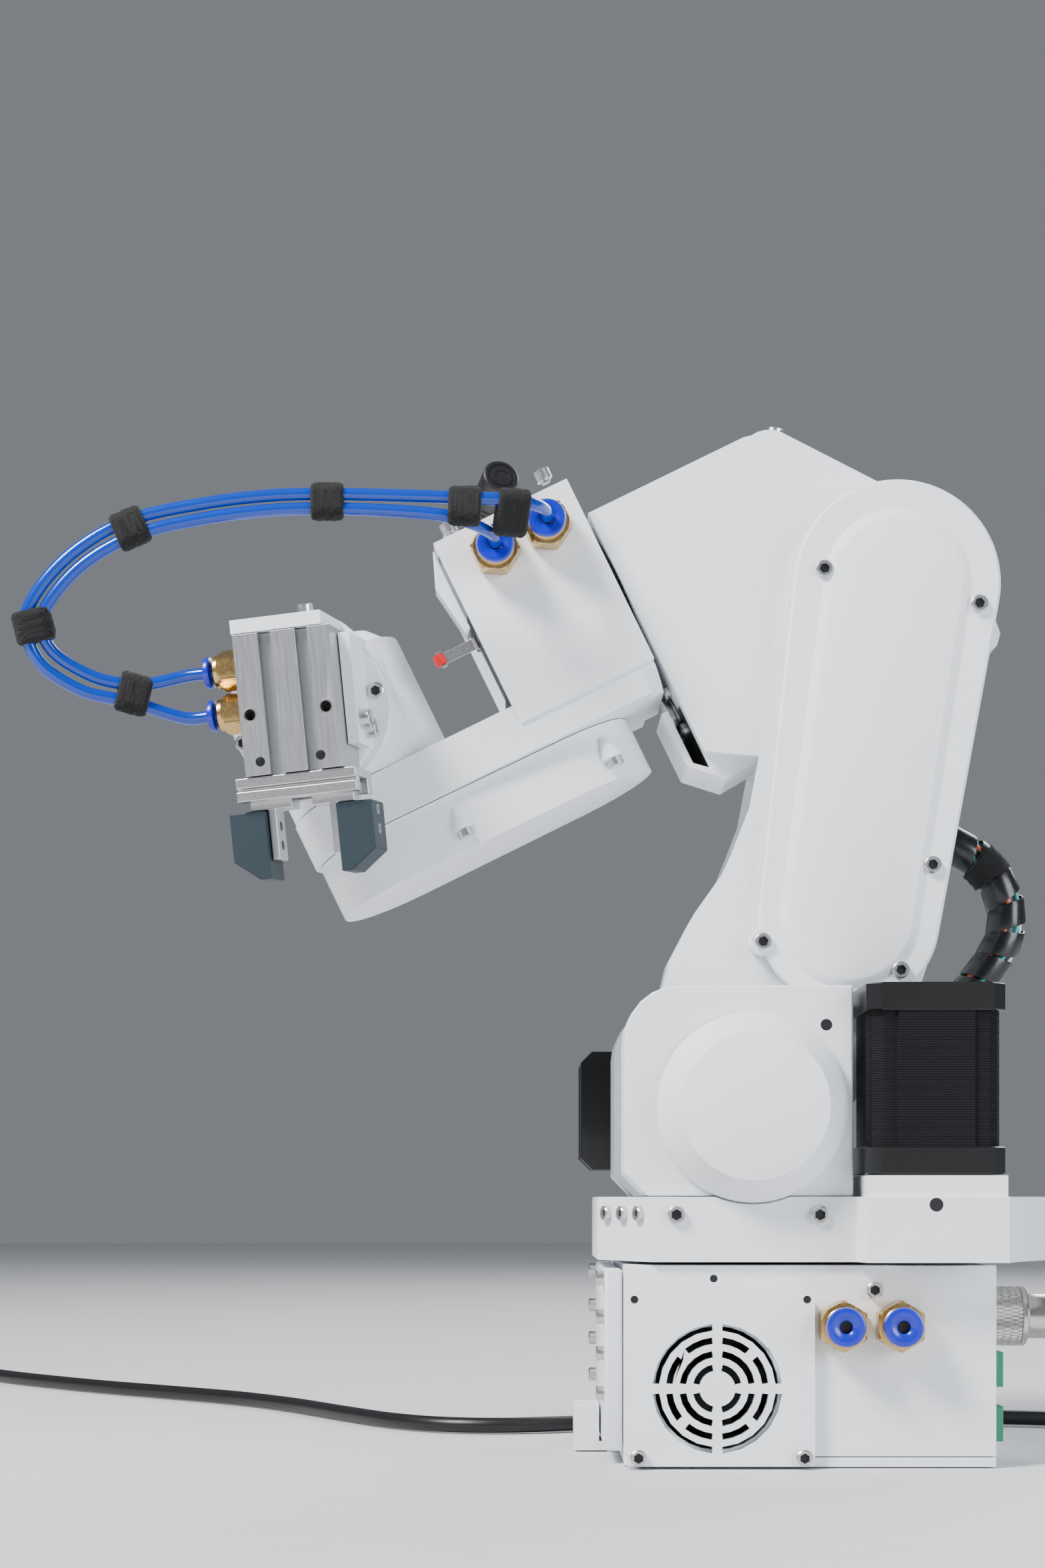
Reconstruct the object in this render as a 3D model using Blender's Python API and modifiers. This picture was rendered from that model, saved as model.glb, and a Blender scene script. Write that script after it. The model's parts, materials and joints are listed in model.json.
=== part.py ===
"""Desktop six-axis robot arm with an air gripper: printed shells, stepper motors, belt drives.

The arm stands on its base with +Z up and reaches towards -X. Its origin is the point on the
base's underside below the waist axis. Sizes are in millimetres and scaled once, by MM.
"""

import math

import bmesh
import bpy
from mathutils import Matrix, Vector

MM = 0.001
GAP = 0.3

# The arm's joints
SHOULDER_X = -23.4
SHOULDER_Z = 110.5
UPPER_ARM_LENGTH = 176.0
UPPER_ARM_LEAN = 16.3
FOREARM_SLOPE = 26.0
ROLL_OFFSET = 43.5
FOREARM_LENGTH = 179.0
WRIST_TURN = 79.0
TOOL_TURN = -21.0

# The base and the turntable on it
BASE_BACK = 51.5
BASE_FRONT = -62.5
BASE_HALF = 63.0
BASE_TOP = 62.0
WALL = 3.0
FAN_X = -34.4
FAN_Z = 24.3
DECK_LOW = 63.0
DECK_HIGH = 83.0
SHELL_TOP = 148.0

# Stepper motors
MOTOR_SIDE = 42.3
ROLL_MOTOR_SIDE = 35.2
MOTOR_CHAMFER = 4.0
WAIST_MOTOR_X = 31.5
WAIST_MOTOR_Y = -54.2
WAIST_MOTOR_LOW = 89.8
WAIST_MOTOR_HIGH = 148.0
ELBOW_MOTOR_X = 15.3
ELBOW_MOTOR_Z = 68.5
WRIST_MOTOR_X = 105.6

# Belt drives: pulley radii and the belt's width
SMALL_PULLEY = 6.0
BELT_WIDTH = 6.0
WAIST_PULLEY = 27.0
WAIST_BELT_LOW = 69.2
SHOULDER_PULLEY = 17.0
SHOULDER_BELT_LOW = 46.0
SHOULDER_MOTOR_X = -52.0
SHOULDER_MOTOR_Z = 114.0
ELBOW_PULLEY = 24.0
ROLL_PULLEY = 18.0
ROLL_MOTOR_DROP = 46.0
WRIST_PULLEY = 18.0

# The elbow, the wrist housing and the hand, in the forearm's frame
ELBOW_HALF = 21.5
ELBOW_FACE = 78.0
GUARD_FACE = 84.4
GUARD_TOP = -2.5
WRIST_BACK = 80.5
WRIST_FRONT = 128.0
WRIST_HALF = 30.0
HAND_RADIUS = 28.5
HAND_LOW = 19.2
HAND_HIGH = 66.0
LEVER_AT = (128.6, 24.1, 43.0)

# The gripper, in the tool's frame
GRIPPER_BACK = 46.0
GRIPPER_FACE = 69.6
GRIPPER_HALF = 15.3
GRIPPER_HIGH = 21.5
RAIL_HALF = 19.0
RAIL_LOW = -29.0
FINGER_WIDE = 11.3
FINGER_HIGH = 21.0
PORT_X = 56.0

# Air fittings and hoses
FITTING_FLATS = 14.0
GRIPPER_FITTING_FLATS = 11.0
HEX_LONG = 8.0
STEM = 8.0
HOSE_RADIUS = 2.0

NOSE = 5.0
FOREARM_FITTINGS = (93.2, 111.4)
FOREARM_FITTING_Z = 65.0
GRIPPER_FITTINGS = (13.0, -0.3)
BASE_FITTINGS = (3.9, 21.4)
BASE_FITTING_Z = 43.5

# The supply cable, its round plugs and its coil; routes are in world coordinates
CABLE_RADIUS = 2.75
PLUG_Y = -20.0
PLUG_Z = 44.5
PLUG_START = 53.3
PLUG_RING_END = 68.6
PLUG_END = 98.0
COIL_X = -387.0
COIL_Y = 352.0
COIL_OUTER = 41.25
COIL_INNER = 22.0
FAR_PLUG_Y = 308.0
PLUG_RADIUS = 9.7
BARREL_RADIUS = 7.25
CABLE_ROUTE = ((98.3, -20, 44.5), (110, -20, 43.5), (123, -18, 37), (132, -12, 25),
               (138, -1, 11), (140, 14, 3.6), (138, 32, 2.75), (128, 54, 2.75),
               (106, 75, 2.75), (74, 87, 2.75), (34, 91, 2.75), (-8, 88, 2.75),
               (-46, 77, 2.75), (-76, 60, 2.75), (-100, 52, 2.75), (-122, 56, 2.75),
               (-141, 73, 2.75), (-160, 103, 2.75), (-182, 141, 2.75), (-207, 175, 2.75),
               (-236, 204, 2.75), (-270, 236, 2.75), (-301, 270, 2.75), (-322, 296, 2.75),
               (-336, 317, 2.75), (-343.4, 334, 2.75))

# The two air hoses, side by side from the forearm's fittings to the gripper's
HOSE_ROUTES = {
    "hose_1": ((-86.3, -43.6, 297), (-86.3, -46.5, 297), (-87.6, -53, 297),
               (-91.3, -58.5, 297), (-97, -62, 297.1), (-104, -63.2, 297.2),
               (-120, -63, 297.8), (-140, -62.5, 298.5), (-156, -62, 298.9),
               (-173, -62, 298.3), (-193, -62, 295.8), (-215, -62, 290.8),
               (-231.6, -62, 281.4), (-242.9, -61.5, 269.6), (-247.2, -60.5, 259.3),
               (-242.9, -58.5, 247.6), (-231.2, -55.5, 240), (-221, -53, 237.8),
               (-213, -51, 236.3), (-205, -49.3, 233.9), (-198.1, -48.7, 232.4),
               (-191.9, -49.8, 232.8)),
    "hose_2": ((-102.6, -43.6, 289), (-102.6, -46.5, 289), (-103.9, -53, 289.3),
               (-107.6, -58.5, 290.1), (-113.3, -62, 291.2), (-120, -63.2, 292.3),
               (-128, -63, 293.1), (-140, -62.5, 293.9), (-156, -62, 294.4),
               (-173, -62, 293.8), (-193, -62, 291.2), (-213, -62, 286.4),
               (-228.5, -61.5, 278), (-238.6, -61, 267.6), (-242.4, -60, 259.3),
               (-238.8, -58, 251), (-228.8, -55, 244.9), (-220, -52.8, 242.7),
               (-212, -51, 242.6), (-205, -50, 244), (-199.1, -49.6, 245.5),
               (-193.1, -50.7, 246)),
}

# The spiral-wrapped bundle of the arm's wires, from the deck up into the upper arm
SLEEVE_RADIUS = 6.5
SLEEVE_ROUTE = ((54, 0, 83.6), (54, 0, 90), (50.8, 0, 100), (47.2, 0, 111), (45.5, 0, 122),
                (46, 0, 132), (49, 0, 142), (54, 0, 150.5), (60, 0, 158.5),
                (65, 0, 167.5), (66.3, 0, 177), (63.5, 0, 186.5), (57, 0, 194.2),
                (48.5, 0, 199.5), (39.4, 0, 202.5))

parts = None
cutters = None


def clear_scene():
    for obj in list(bpy.data.objects):
        bpy.data.objects.remove(obj, do_unlink=True)


def new_collection(name):
    collection = bpy.data.collections.new(name)
    bpy.context.scene.collection.children.link(collection)
    return collection


def paint(name, color, roughness, metallic=0.0):
    material = bpy.data.materials.new(name)
    material.use_nodes = True
    shader = material.node_tree.nodes["Principled BSDF"]
    shader.inputs["Base Color"].default_value = (*color, 1.0)
    shader.inputs["Roughness"].default_value = roughness
    shader.inputs["Metallic"].default_value = metallic
    return material


def frame_at(name, matrix, parent=None):
    """An empty whose place is given in its parent's frame, in millimetres."""
    empty = bpy.data.objects.new(name, None)
    bpy.context.scene.collection.objects.link(empty)
    empty.parent = parent
    matrix = matrix.copy()
    matrix.translation = matrix.translation * MM
    empty.matrix_local = matrix
    return empty


def added(name, bm, material, frame, collection=None):
    """A mesh object from geometry in millimetres, in its frame's coordinates."""
    bmesh.ops.scale(bm, vec=(MM, MM, MM), verts=bm.verts)
    bmesh.ops.recalc_face_normals(bm, faces=bm.faces)
    mesh = bpy.data.meshes.new(name)
    bm.to_mesh(mesh)
    bm.free()
    mesh.shade_smooth()
    mesh.set_sharp_from_angle(angle=math.radians(35))
    obj = bpy.data.objects.new(name, mesh)
    (collection or parts).objects.link(obj)
    obj.parent = frame
    if material:
        mesh.materials.append(material)
    return obj


def block(name, low, high, material, frame, collection=None, bevel=0.0):
    bm = bmesh.new()
    low, high = Vector(low), Vector(high)
    size = high - low
    bmesh.ops.create_cube(bm, size=1.0, matrix=Matrix.Translation((low + high) / 2)
                          @ Matrix.Diagonal((*size, 1.0)))
    obj = added(name, bm, material, frame, collection)
    if bevel:
        rounding = obj.modifiers.new("rounding", "BEVEL")
        rounding.width = bevel * MM
        rounding.segments = 2
    return obj


def rod(name, start, end, radius, material, frame, collection=None, sides=24, end_radius=None):
    """A round or many-sided bar, or a cone, from start to end."""
    bm = bmesh.new()
    start, end = Vector(start), Vector(end)
    turn = (end - start).to_track_quat("Z", "Y").to_matrix().to_4x4()
    bmesh.ops.create_cone(bm, cap_ends=True, segments=sides, radius1=radius,
                          radius2=radius if end_radius is None else end_radius,
                          depth=(end - start).length,
                          matrix=Matrix.Translation((start + end) / 2) @ turn)
    return added(name, bm, material, frame, collection)


PLANES = {
    "XY": Matrix.Identity(4),
    "XZ": Matrix(((1, 0, 0, 0), (0, 0, -1, 0), (0, 1, 0, 0), (0, 0, 0, 1))),
    "YZ": Matrix(((0, 0, 1, 0), (1, 0, 0, 0), (0, 1, 0, 0), (0, 0, 0, 1))),
}


def slab(name, outline, low, high, plane, material, frame, collection=None):
    """A flat outline in one plane, filled and given thickness from low to high across it."""
    curve = bpy.data.curves.new(name, "CURVE")
    curve.dimensions = "2D"
    curve.fill_mode = "BOTH"
    curve.extrude = (high - low) / 2
    spline = curve.splines.new("POLY")
    spline.points.add(len(outline) - 1)
    for point, (a, b) in zip(spline.points, outline):
        point.co = (a, b, 0.0, 1.0)
    spline.use_cyclic_u = True
    guide = bpy.data.objects.new(name + "_outline", curve)
    bpy.context.scene.collection.objects.link(guide)
    graph = bpy.context.evaluated_depsgraph_get()
    mesh = bpy.data.meshes.new_from_object(guide.evaluated_get(graph))
    bm = bmesh.new()
    bm.from_mesh(mesh)
    bmesh.ops.remove_doubles(bm, verts=bm.verts, dist=0.001)
    bmesh.ops.dissolve_limit(bm, angle_limit=math.radians(0.5), verts=bm.verts,
                             edges=bm.edges)
    middle = (low + high) / 2
    side = -middle if plane == "XZ" else middle
    bmesh.ops.transform(bm, verts=bm.verts,
                        matrix=PLANES[plane] @ Matrix.Translation((0, 0, side)))
    bpy.data.objects.remove(guide, do_unlink=True)
    bpy.data.meshes.remove(mesh)
    return added(name, bm, material, frame, collection)


def combine(obj, tool, operation):
    boolean = obj.modifiers.new(tool.name, "BOOLEAN")
    boolean.operation = operation
    boolean.solver = "EXACT"
    boolean.object = tool
    tool.hide_render = True
    tool.display_type = "WIRE"
    return obj


def cut(obj, tool):
    return combine(obj, tool, "DIFFERENCE")


def join(obj, tool):
    return combine(obj, tool, "UNION")


def arc(center, radius, start, end, steps):
    """Points on a circle from one angle to another, in degrees."""
    return [(center[0] + radius * math.cos(math.radians(start + (end - start) * i / steps)),
             center[1] + radius * math.sin(math.radians(start + (end - start) * i / steps)))
            for i in range(steps + 1)]


def loop_round(first, first_radius, second, second_radius, steps=10):
    """The outline of a belt round two circles."""
    dx, dy = second[0] - first[0], second[1] - first[1]
    heading = math.degrees(math.atan2(dy, dx))
    spread = math.degrees(math.acos((first_radius - second_radius) / math.hypot(dx, dy)))
    return (arc(first, first_radius, heading + spread, heading + 360 - spread, steps)
            + arc(second, second_radius, heading - spread, heading + spread, steps))


def square_with_chamfers(center, side, chamfer):
    half, flat = side / 2, side / 2 - chamfer
    corners = ((half, -flat), (half, flat), (flat, half), (-flat, half),
               (-half, flat), (-half, -flat), (-flat, -half), (flat, -half))
    return [(center[0] + a, center[1] + b) for a, b in corners]


def along(plane, center, height):
    """A point given in a plane's two coordinates and its height across it."""
    a, b = center
    return {"XY": (a, b, height), "XZ": (a, height, b), "YZ": (height, a, b)}[plane]


def small_pulley(name, plane, low, material, frame, width=BELT_WIDTH):
    """A motor's pulley, turning about its own frame's axis."""
    rod(name, along(plane, (0, 0), low), along(plane, (0, 0), low + width), SMALL_PULLEY,
        material, frame, sides=20)


def ring(name, plane, center, outer, inner, low, high, material, frame):
    shape = rod(name, along(plane, center, low), along(plane, center, high), outer,
                material, frame, sides=28)
    return cut(shape, rod(name + "_bore", along(plane, center, low - 1),
                          along(plane, center, high + 1), inner, None, frame, cutters,
                          sides=24))


def motor(name, plane, center, low, high, material, frame, side=MOTOR_SIDE, collection=None):
    return slab(name, square_with_chamfers(center, side, MOTOR_CHAMFER), low, high, plane,
                material, frame, collection)


def fitting(name, start, direction, brass, frame, flats=FITTING_FLATS):
    """A push-in air fitting: a hexagon, a stem behind it and a round nose for the hose."""
    start, direction = Vector(start), Vector(direction)
    hex_end = start + direction * HEX_LONG
    body = rod(name, start, hex_end, flats / 2 / math.cos(math.pi / 6), brass, frame, sides=6)
    join(body, rod(name + "_stem", start - direction * STEM, start + direction, 4.0, None,
                   frame, cutters, sides=16))
    join(body, rod(name + "_nose", hex_end - direction, hex_end + direction * NOSE,
                   flats * 0.37, None, frame, cutters, sides=20))
    return body


def tube(name, points, radius, material, frame, resolution=2):
    """A cord or hose: a poly curve with a round bevel and filled ends."""
    curve = bpy.data.curves.new(name, "CURVE")
    curve.dimensions = "3D"
    curve.bevel_depth = radius * MM
    curve.bevel_resolution = resolution
    curve.use_fill_caps = True
    spline = curve.splines.new("POLY")
    spline.points.add(len(points) - 1)
    for point, place in zip(spline.points, points):
        point.co = (*(Vector(place) * MM), 1.0)
    curve.materials.append(material)
    obj = bpy.data.objects.new(name, curve)
    parts.objects.link(obj)
    obj.parent = frame
    return obj


def smooth_route(route, step):
    """Evenly spaced points on a smooth curve through the route's own points."""
    ends = [Vector(route[0]) * 2 - Vector(route[1]), Vector(route[-1]) * 2 - Vector(route[-2])]
    knots = [ends[0]] + [Vector(p) for p in route] + [ends[1]]
    fine = []
    for a, b, c, d in zip(knots, knots[1:], knots[2:], knots[3:]):
        for i in range(40):
            t = i / 40
            fine.append(0.5 * (2 * b + (c - a) * t + (2 * a - 5 * b + 4 * c - d) * t * t
                               + (3 * b - a - 3 * c + d) * t ** 3))
    fine.append(knots[-2])
    total = sum((q - p).length for p, q in zip(fine, fine[1:]))
    count = max(2, round(total / step))
    points, walked, wanted = [fine[0]], 0.0, total / count
    for p, q in zip(fine, fine[1:]):
        walked += (q - p).length
        if walked >= wanted * len(points) and len(points) < count:
            points.append(q)
    points.append(fine[-1])
    return points


def make_base(base, white, dark, metal, green, frames):
    """The fixed box: shell, floor with its lug, front panel, fan and its grille, sockets."""
    outline = [(BASE_FRONT, -BASE_HALF + 5), (BASE_FRONT + 5, -BASE_HALF),
               (BASE_BACK, -BASE_HALF), (BASE_BACK, BASE_HALF), (BASE_FRONT + 5, BASE_HALF),
               (BASE_FRONT, BASE_HALF - 5)]
    shell = slab("base_shell", outline, 3.3, BASE_TOP, "XY", white, base)
    cut(shell, block("base_room", (BASE_FRONT + WALL, -BASE_HALF + WALL, 0),
                     (BASE_BACK - WALL, BASE_HALF - WALL, BASE_TOP - 4), None, base, cutters))
    cut(shell, rod("base_top_hole", (0, 0, 50), (0, 0, 70), 13, None, base, cutters))
    cut(shell, rod("base_fan_hole", (FAN_X, -70, FAN_Z), (FAN_X, -55, FAN_Z), 19, None, base,
                   cutters, sides=28))
    for index, x in enumerate(BASE_FITTINGS):
        cut(shell, rod(f"base_fitting_hole_{index}", (x, -70, BASE_FITTING_Z),
                       (x, -55, BASE_FITTING_Z), 4.4, None, base, cutters, sides=16))
    cut(shell, rod("base_socket_hole", (40, PLUG_Y, PLUG_Z), (60, PLUG_Y, PLUG_Z), 7.4, None,
                   base, cutters))
    floor = slab("base_floor", outline, 0, 3, "XY", white, base)
    lug = block("floor_lug", (-77, -11, 0), (BASE_FRONT + 1, 11, 3), None, base, cutters)
    join(floor, lug)
    join(floor, block("lug_block", (-77, -11, 0), (-68.9, 11, 15), None, base, cutters))
    cut(floor, rod("lug_hole", (-73, 0, -1), (-73, 0, 20), 2.2, None, base, cutters, sides=16))
    block("front_panel", (-68.3, -50, 3.6), (BASE_FRONT - GAP, 50, 60.5), white, base,
          bevel=0.8)
    make_fan_cover(base, white)
    make_fan(base, dark, frames["fan"])
    for index, x in enumerate(BASE_FITTINGS):
        fitting(f"base_fitting_{index + 1}", (x, -BASE_HALF - GAP, BASE_FITTING_Z), (0, -1, 0),
                metal["brass"], base)
    block("control_board", (-55, -40, 6), (45, 55, 8), green, base)
    terminals = block("terminal_block", (BASE_BACK + GAP, -48, 6.5), (BASE_BACK + 5, -30, 17.5),
                      green, base)
    join(terminals, block("terminal_upper", (BASE_BACK + GAP, -48, 23.5),
                          (BASE_BACK + 5, -30, 34.5), None, base, cutters))
    join(terminals, block("terminal_back", (BASE_BACK + GAP, -48, 10), (BASE_BACK + 1.5, -30, 30),
                          None, base, cutters))
    socket = rod("rear_socket", (42, PLUG_Y, PLUG_Z), (PLUG_START - GAP, PLUG_Y, PLUG_Z), 6.9,
                 metal["nickel"], base)
    join(socket, rod("socket_flange", (BASE_BACK + GAP, PLUG_Y, PLUG_Z),
                     (PLUG_START - GAP, PLUG_Y, PLUG_Z), 9.2, None, base, cutters))
    hub = rod("waist_pulley", (0, 0, BASE_TOP + GAP), (0, 0, 69.5), 12.0, metal["steel"], base)
    join(hub, rod("waist_teeth", (0, 0, WAIST_BELT_LOW), (0, 0, WAIST_BELT_LOW + BELT_WIDTH),
                  WAIST_PULLEY, None, base, cutters, sides=36))
    cut(hub, rod("waist_pulley_bore", (0, 0, 60), (0, 0, 80), 8.5, None, base, cutters))
    ring("waist_bearing", "XY", (0, 0), 20.0, 12.4, BASE_TOP + GAP, 68.5, metal["steel"], base)


def make_fan_cover(base, white):
    """A plate with a grille of four slotted rings; the second ring has slots half as long."""
    low, high = -BASE_HALF - 3.6, -BASE_HALF - GAP
    outline = [(-62, 0.5), (-4.6, 0.5), (-4.6, 51), (-9, 55.8), (-57.5, 55.8), (-62, 51)]
    cover = slab("fan_cover", outline, low, high, "XZ", white, base)
    for row, outer in enumerate((19.9, 15.8, 11.7, 7.6)):
        half_bar = 1.6
        inner = outer - 2.1
        parts_of_quarter = 2 if row == 1 else 1
        for quarter in range(4):
            for half in range(parts_of_quarter):
                length = 90.0 / parts_of_quarter
                start = 90 * quarter + length * half
                margin = math.degrees(half_bar / outer)
                first, last = start + margin, start + length - margin
                steps = 5 if parts_of_quarter == 1 else 3
                shape = (arc((FAN_X, FAN_Z), outer, first, last, steps)
                         + arc((FAN_X, FAN_Z), inner, last, first, steps))
                cut(cover, slab(f"slot_{row}_{quarter}_{half}", shape, low - 1, high + 1,
                                "XZ", None, base, cutters))


def make_fan(base, dark, spin):
    """A 40 mm fan behind the grille: its frame stays, its rotor spins on the frame's hub."""
    near, far = -BASE_HALF + WALL + GAP, -BASE_HALF + WALL + GAP + 10
    frame = block("fan_frame", (FAN_X - 20, near, FAN_Z - 20), (FAN_X + 20, far, FAN_Z + 20),
                  dark, base)
    cut(frame, rod("fan_bore", (FAN_X, near - 1, FAN_Z), (FAN_X, far + 1, FAN_Z), 18.8, None,
                   base, cutters, sides=28))
    join(frame, block("fan_strut", (FAN_X - 19.5, far - 1.5, FAN_Z - 1.5),
                      (FAN_X + 19.5, far, FAN_Z + 1.5), None, base, cutters))
    rotor = rod("fan_rotor", (0, near + 0.5, 0), (0, far - 2, 0), 9, dark, spin, sides=20)
    for index in range(7):
        blade = block(f"blade_{index}", (-3.4, near + 1.5, 8), (3.4, near + 3, 18), None, spin,
                      cutters)
        blade.rotation_euler = (0, math.tau * index / 7, 0)
        join(rotor, blade)


def make_turntable(turn, white, black, metal, frames):
    """The deck that turns on the base, the shoulder's two cheeks and the waist's motor."""
    front, back = -70.0, 74.0
    outline = [(-54.4, -65), (8, -65), (10, -76.5), (53, -76.5), (58, -63), (back, -36),
               (back, 36), (54, 63), (-54.4, 63), (front, 32), (front, -34)]
    deck = slab("turntable", outline, DECK_LOW, DECK_HIGH, "XY", white, turn)
    join(deck, block("motor_seat", (10.2, -75.5, DECK_LOW + 1),
                     (52.8, -33, WAIST_MOTOR_LOW - GAP), None, turn, cutters))
    cut(deck, slab("deck_room", loop_round((0, 0), 33, (WAIST_MOTOR_X, WAIST_MOTOR_Y), 14),
                   DECK_LOW - 1, 77, "XY", None, turn, cutters))
    cut(deck, rod("waist_shaft_hole", (WAIST_MOTOR_X, WAIST_MOTOR_Y, 70),
                  (WAIST_MOTOR_X, WAIST_MOTOR_Y, 95), 11.5, None, turn, cutters))
    cut(deck, rod("cable_way", (0, 0, 60), (0, 0, 95), 8, None, turn, cutters, sides=20))
    cut(deck, rod("hub_pocket", (SHOULDER_X, -33, SHOULDER_Z), (SHOULDER_X, 28, SHOULDER_Z),
                  32, None, turn, cutters, sides=32))
    cut(deck, rod("cap_pocket", (SHOULDER_X, -80, SHOULDER_Z),
                  (SHOULDER_X, -BASE_HALF + 0.2, SHOULDER_Z), 29.9, None, turn, cutters,
                  sides=40))
    profile = (arc((-45.8, SHELL_TOP - 16.8), 16.8, 180, 90, 6)
               + [(7.6, SHELL_TOP), (7.6, DECK_HIGH + GAP), (-56, DECK_HIGH + GAP),
                  (-62.6, DECK_HIGH + 7)])
    for name, low, high in (("shoulder_near", -BASE_HALF, -33.3),
                            ("shoulder_far", 27.5, BASE_HALF)):
        cheek = slab(name, profile, low, high, "XZ", white, turn)
        room = loop_round((SHOULDER_X, SHOULDER_Z), 21.5, (SHOULDER_MOTOR_X, SHOULDER_MOTOR_Z),
                          9.5)
        cut(cheek, slab(name + "_room", room, low + 4, high + 1, "XZ", None, turn, cutters))
        cut(cheek, rod(name + "_bore", (SHOULDER_X, low - 1, SHOULDER_Z),
                       (SHOULDER_X, high + 1, SHOULDER_Z), 9.3, None, turn, cutters))
    rod("shoulder_cap", (SHOULDER_X, -BASE_HALF - GAP, SHOULDER_Z),
        (SHOULDER_X, -BASE_HALF - 12, SHOULDER_Z), 29.4, white, turn, sides=40,
        end_radius=22.8)
    ring("shoulder_bearing", "XZ", (SHOULDER_X, SHOULDER_Z), 9.0, 6.3, -37.0, -34.0,
         metal["steel"], turn)
    motor("shoulder_motor", "XZ", (SHOULDER_MOTOR_X, SHOULDER_MOTOR_Z), BASE_HALF + 4.3,
          BASE_HALF + 42, black, turn)
    center = (WAIST_MOTOR_X, WAIST_MOTOR_Y)
    waist_motor = motor("waist_motor", "XY", center, WAIST_MOTOR_LOW, WAIST_MOTOR_LOW + 8.5,
                        black, turn)
    join(waist_motor, slab("waist_motor_stator", square_with_chamfers(center, MOTOR_SIDE - 1.2,
                                                                      7.5),
                           WAIST_MOTOR_LOW + 8, WAIST_MOTOR_HIGH - 8, "XY", None, turn,
                           cutters))
    join(waist_motor, motor("waist_motor_cap", "XY", center, WAIST_MOTOR_HIGH - 8.5,
                            WAIST_MOTOR_HIGH, None, turn, collection=cutters))
    small_pulley("waist_motor_pulley", "XY", WAIST_BELT_LOW, metal["steel"],
                 frames["waist_pinion"])
    small_pulley("shoulder_motor_pulley", "XZ", SHOULDER_BELT_LOW, metal["steel"],
                 frames["shoulder_pinion"])


def make_upper_arm(upper, white, black, metal, frames):
    """The arm from shoulder to elbow: a hollow core, two side plates, a cover over the belt."""
    elbow = (0, UPPER_ARM_LENGTH)
    drive = (ELBOW_MOTOR_X, ELBOW_MOTOR_Z)
    left = [(-31.5, 150), (-27.5, 120), (-25, 95), (-27, 73), (-32.5, 57), (-35.5, 42),
            (-34.5, 26), (-31, 10)]
    right = [(31, 8), (40, 25), (43.5, 45), (44, 62), (42.7, 77.5), (39, 108), (35.8, 132),
             (33.5, 160)]
    outline = arc((0, 0), 30, 190, 350, 10) + right + arc(elbow, 33, 5, 175, 12) + left
    frame = slab("upper_arm_frame", outline, -25.5, -22.0, "XZ", white, upper)
    core_outline = (arc((0, 0), 30, 190, 350, 10) + right[:5]
                    + arc(elbow, 85, -68, -106, 8) + left[3:])
    join(frame, slab("upper_arm_core", core_outline, -23.0, 23.0, "XZ", None, upper, cutters))
    join(frame, slab("upper_arm_far_plate", outline, 22.0, 25.5, "XZ", None, upper, cutters))
    cut(frame, block("elbow_motor_room", (drive[0] - 22, -19, drive[1] - 22),
                     (drive[0] + 22, 30, drive[1] + 22), None, upper, cutters))
    cut(frame, block("core_room", (-24, -19, 24), (-9.5, 30, 76), None, upper, cutters))
    cut(frame, rod("elbow_shaft_way", (drive[0], -30, drive[1]), (drive[0], 0, drive[1]), 8,
                   None, upper, cutters, sides=20))
    cut(frame, rod("hub_bore", (0, -30, 0), (0, 30, 0), 6.3, None, upper, cutters))
    cut(frame, rod("elbow_bore", (0, -30, UPPER_ARM_LENGTH), (0, 30, UPPER_ARM_LENGTH), 6.3,
                   None, upper, cutters))
    motor("elbow_motor", "XZ", drive, -18.5, 24, black, upper)
    cover_outline = loop_round(elbow, 33, drive, 29, steps=14)
    cover = slab("upper_arm_cover", cover_outline, -32.6, -25.8, "XZ", white, upper)
    cut(cover, slab("upper_cover_room", loop_round(elbow, 27.5, drive, 11), -30.8, -24, "XZ",
                    None, upper, cutters))
    shaft = rod("shoulder_shaft", (0, -36.5, 0), (0, 53, 0), 6.0, metal["steel"], upper)
    join(shaft, rod("shoulder_pulley", (0, SHOULDER_BELT_LOW, 0),
                    (0, SHOULDER_BELT_LOW + BELT_WIDTH, 0), SHOULDER_PULLEY, None, upper,
                    cutters, sides=32))
    small_pulley("elbow_motor_pulley", "XZ", -30.3, metal["steel"], frames["elbow_pinion"],
                 4.0)
    wheel = rod("elbow_pulley", (0, -30.3, 0), (0, -26.3, 0), ELBOW_PULLEY, metal["steel"],
                frames["elbow_world"], sides=32)
    join(wheel, rod("elbow_shaft", (0, -27, 0), (0, 27, 0), 6.0, None, frames["elbow_world"],
                    cutters, sides=20))


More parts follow.
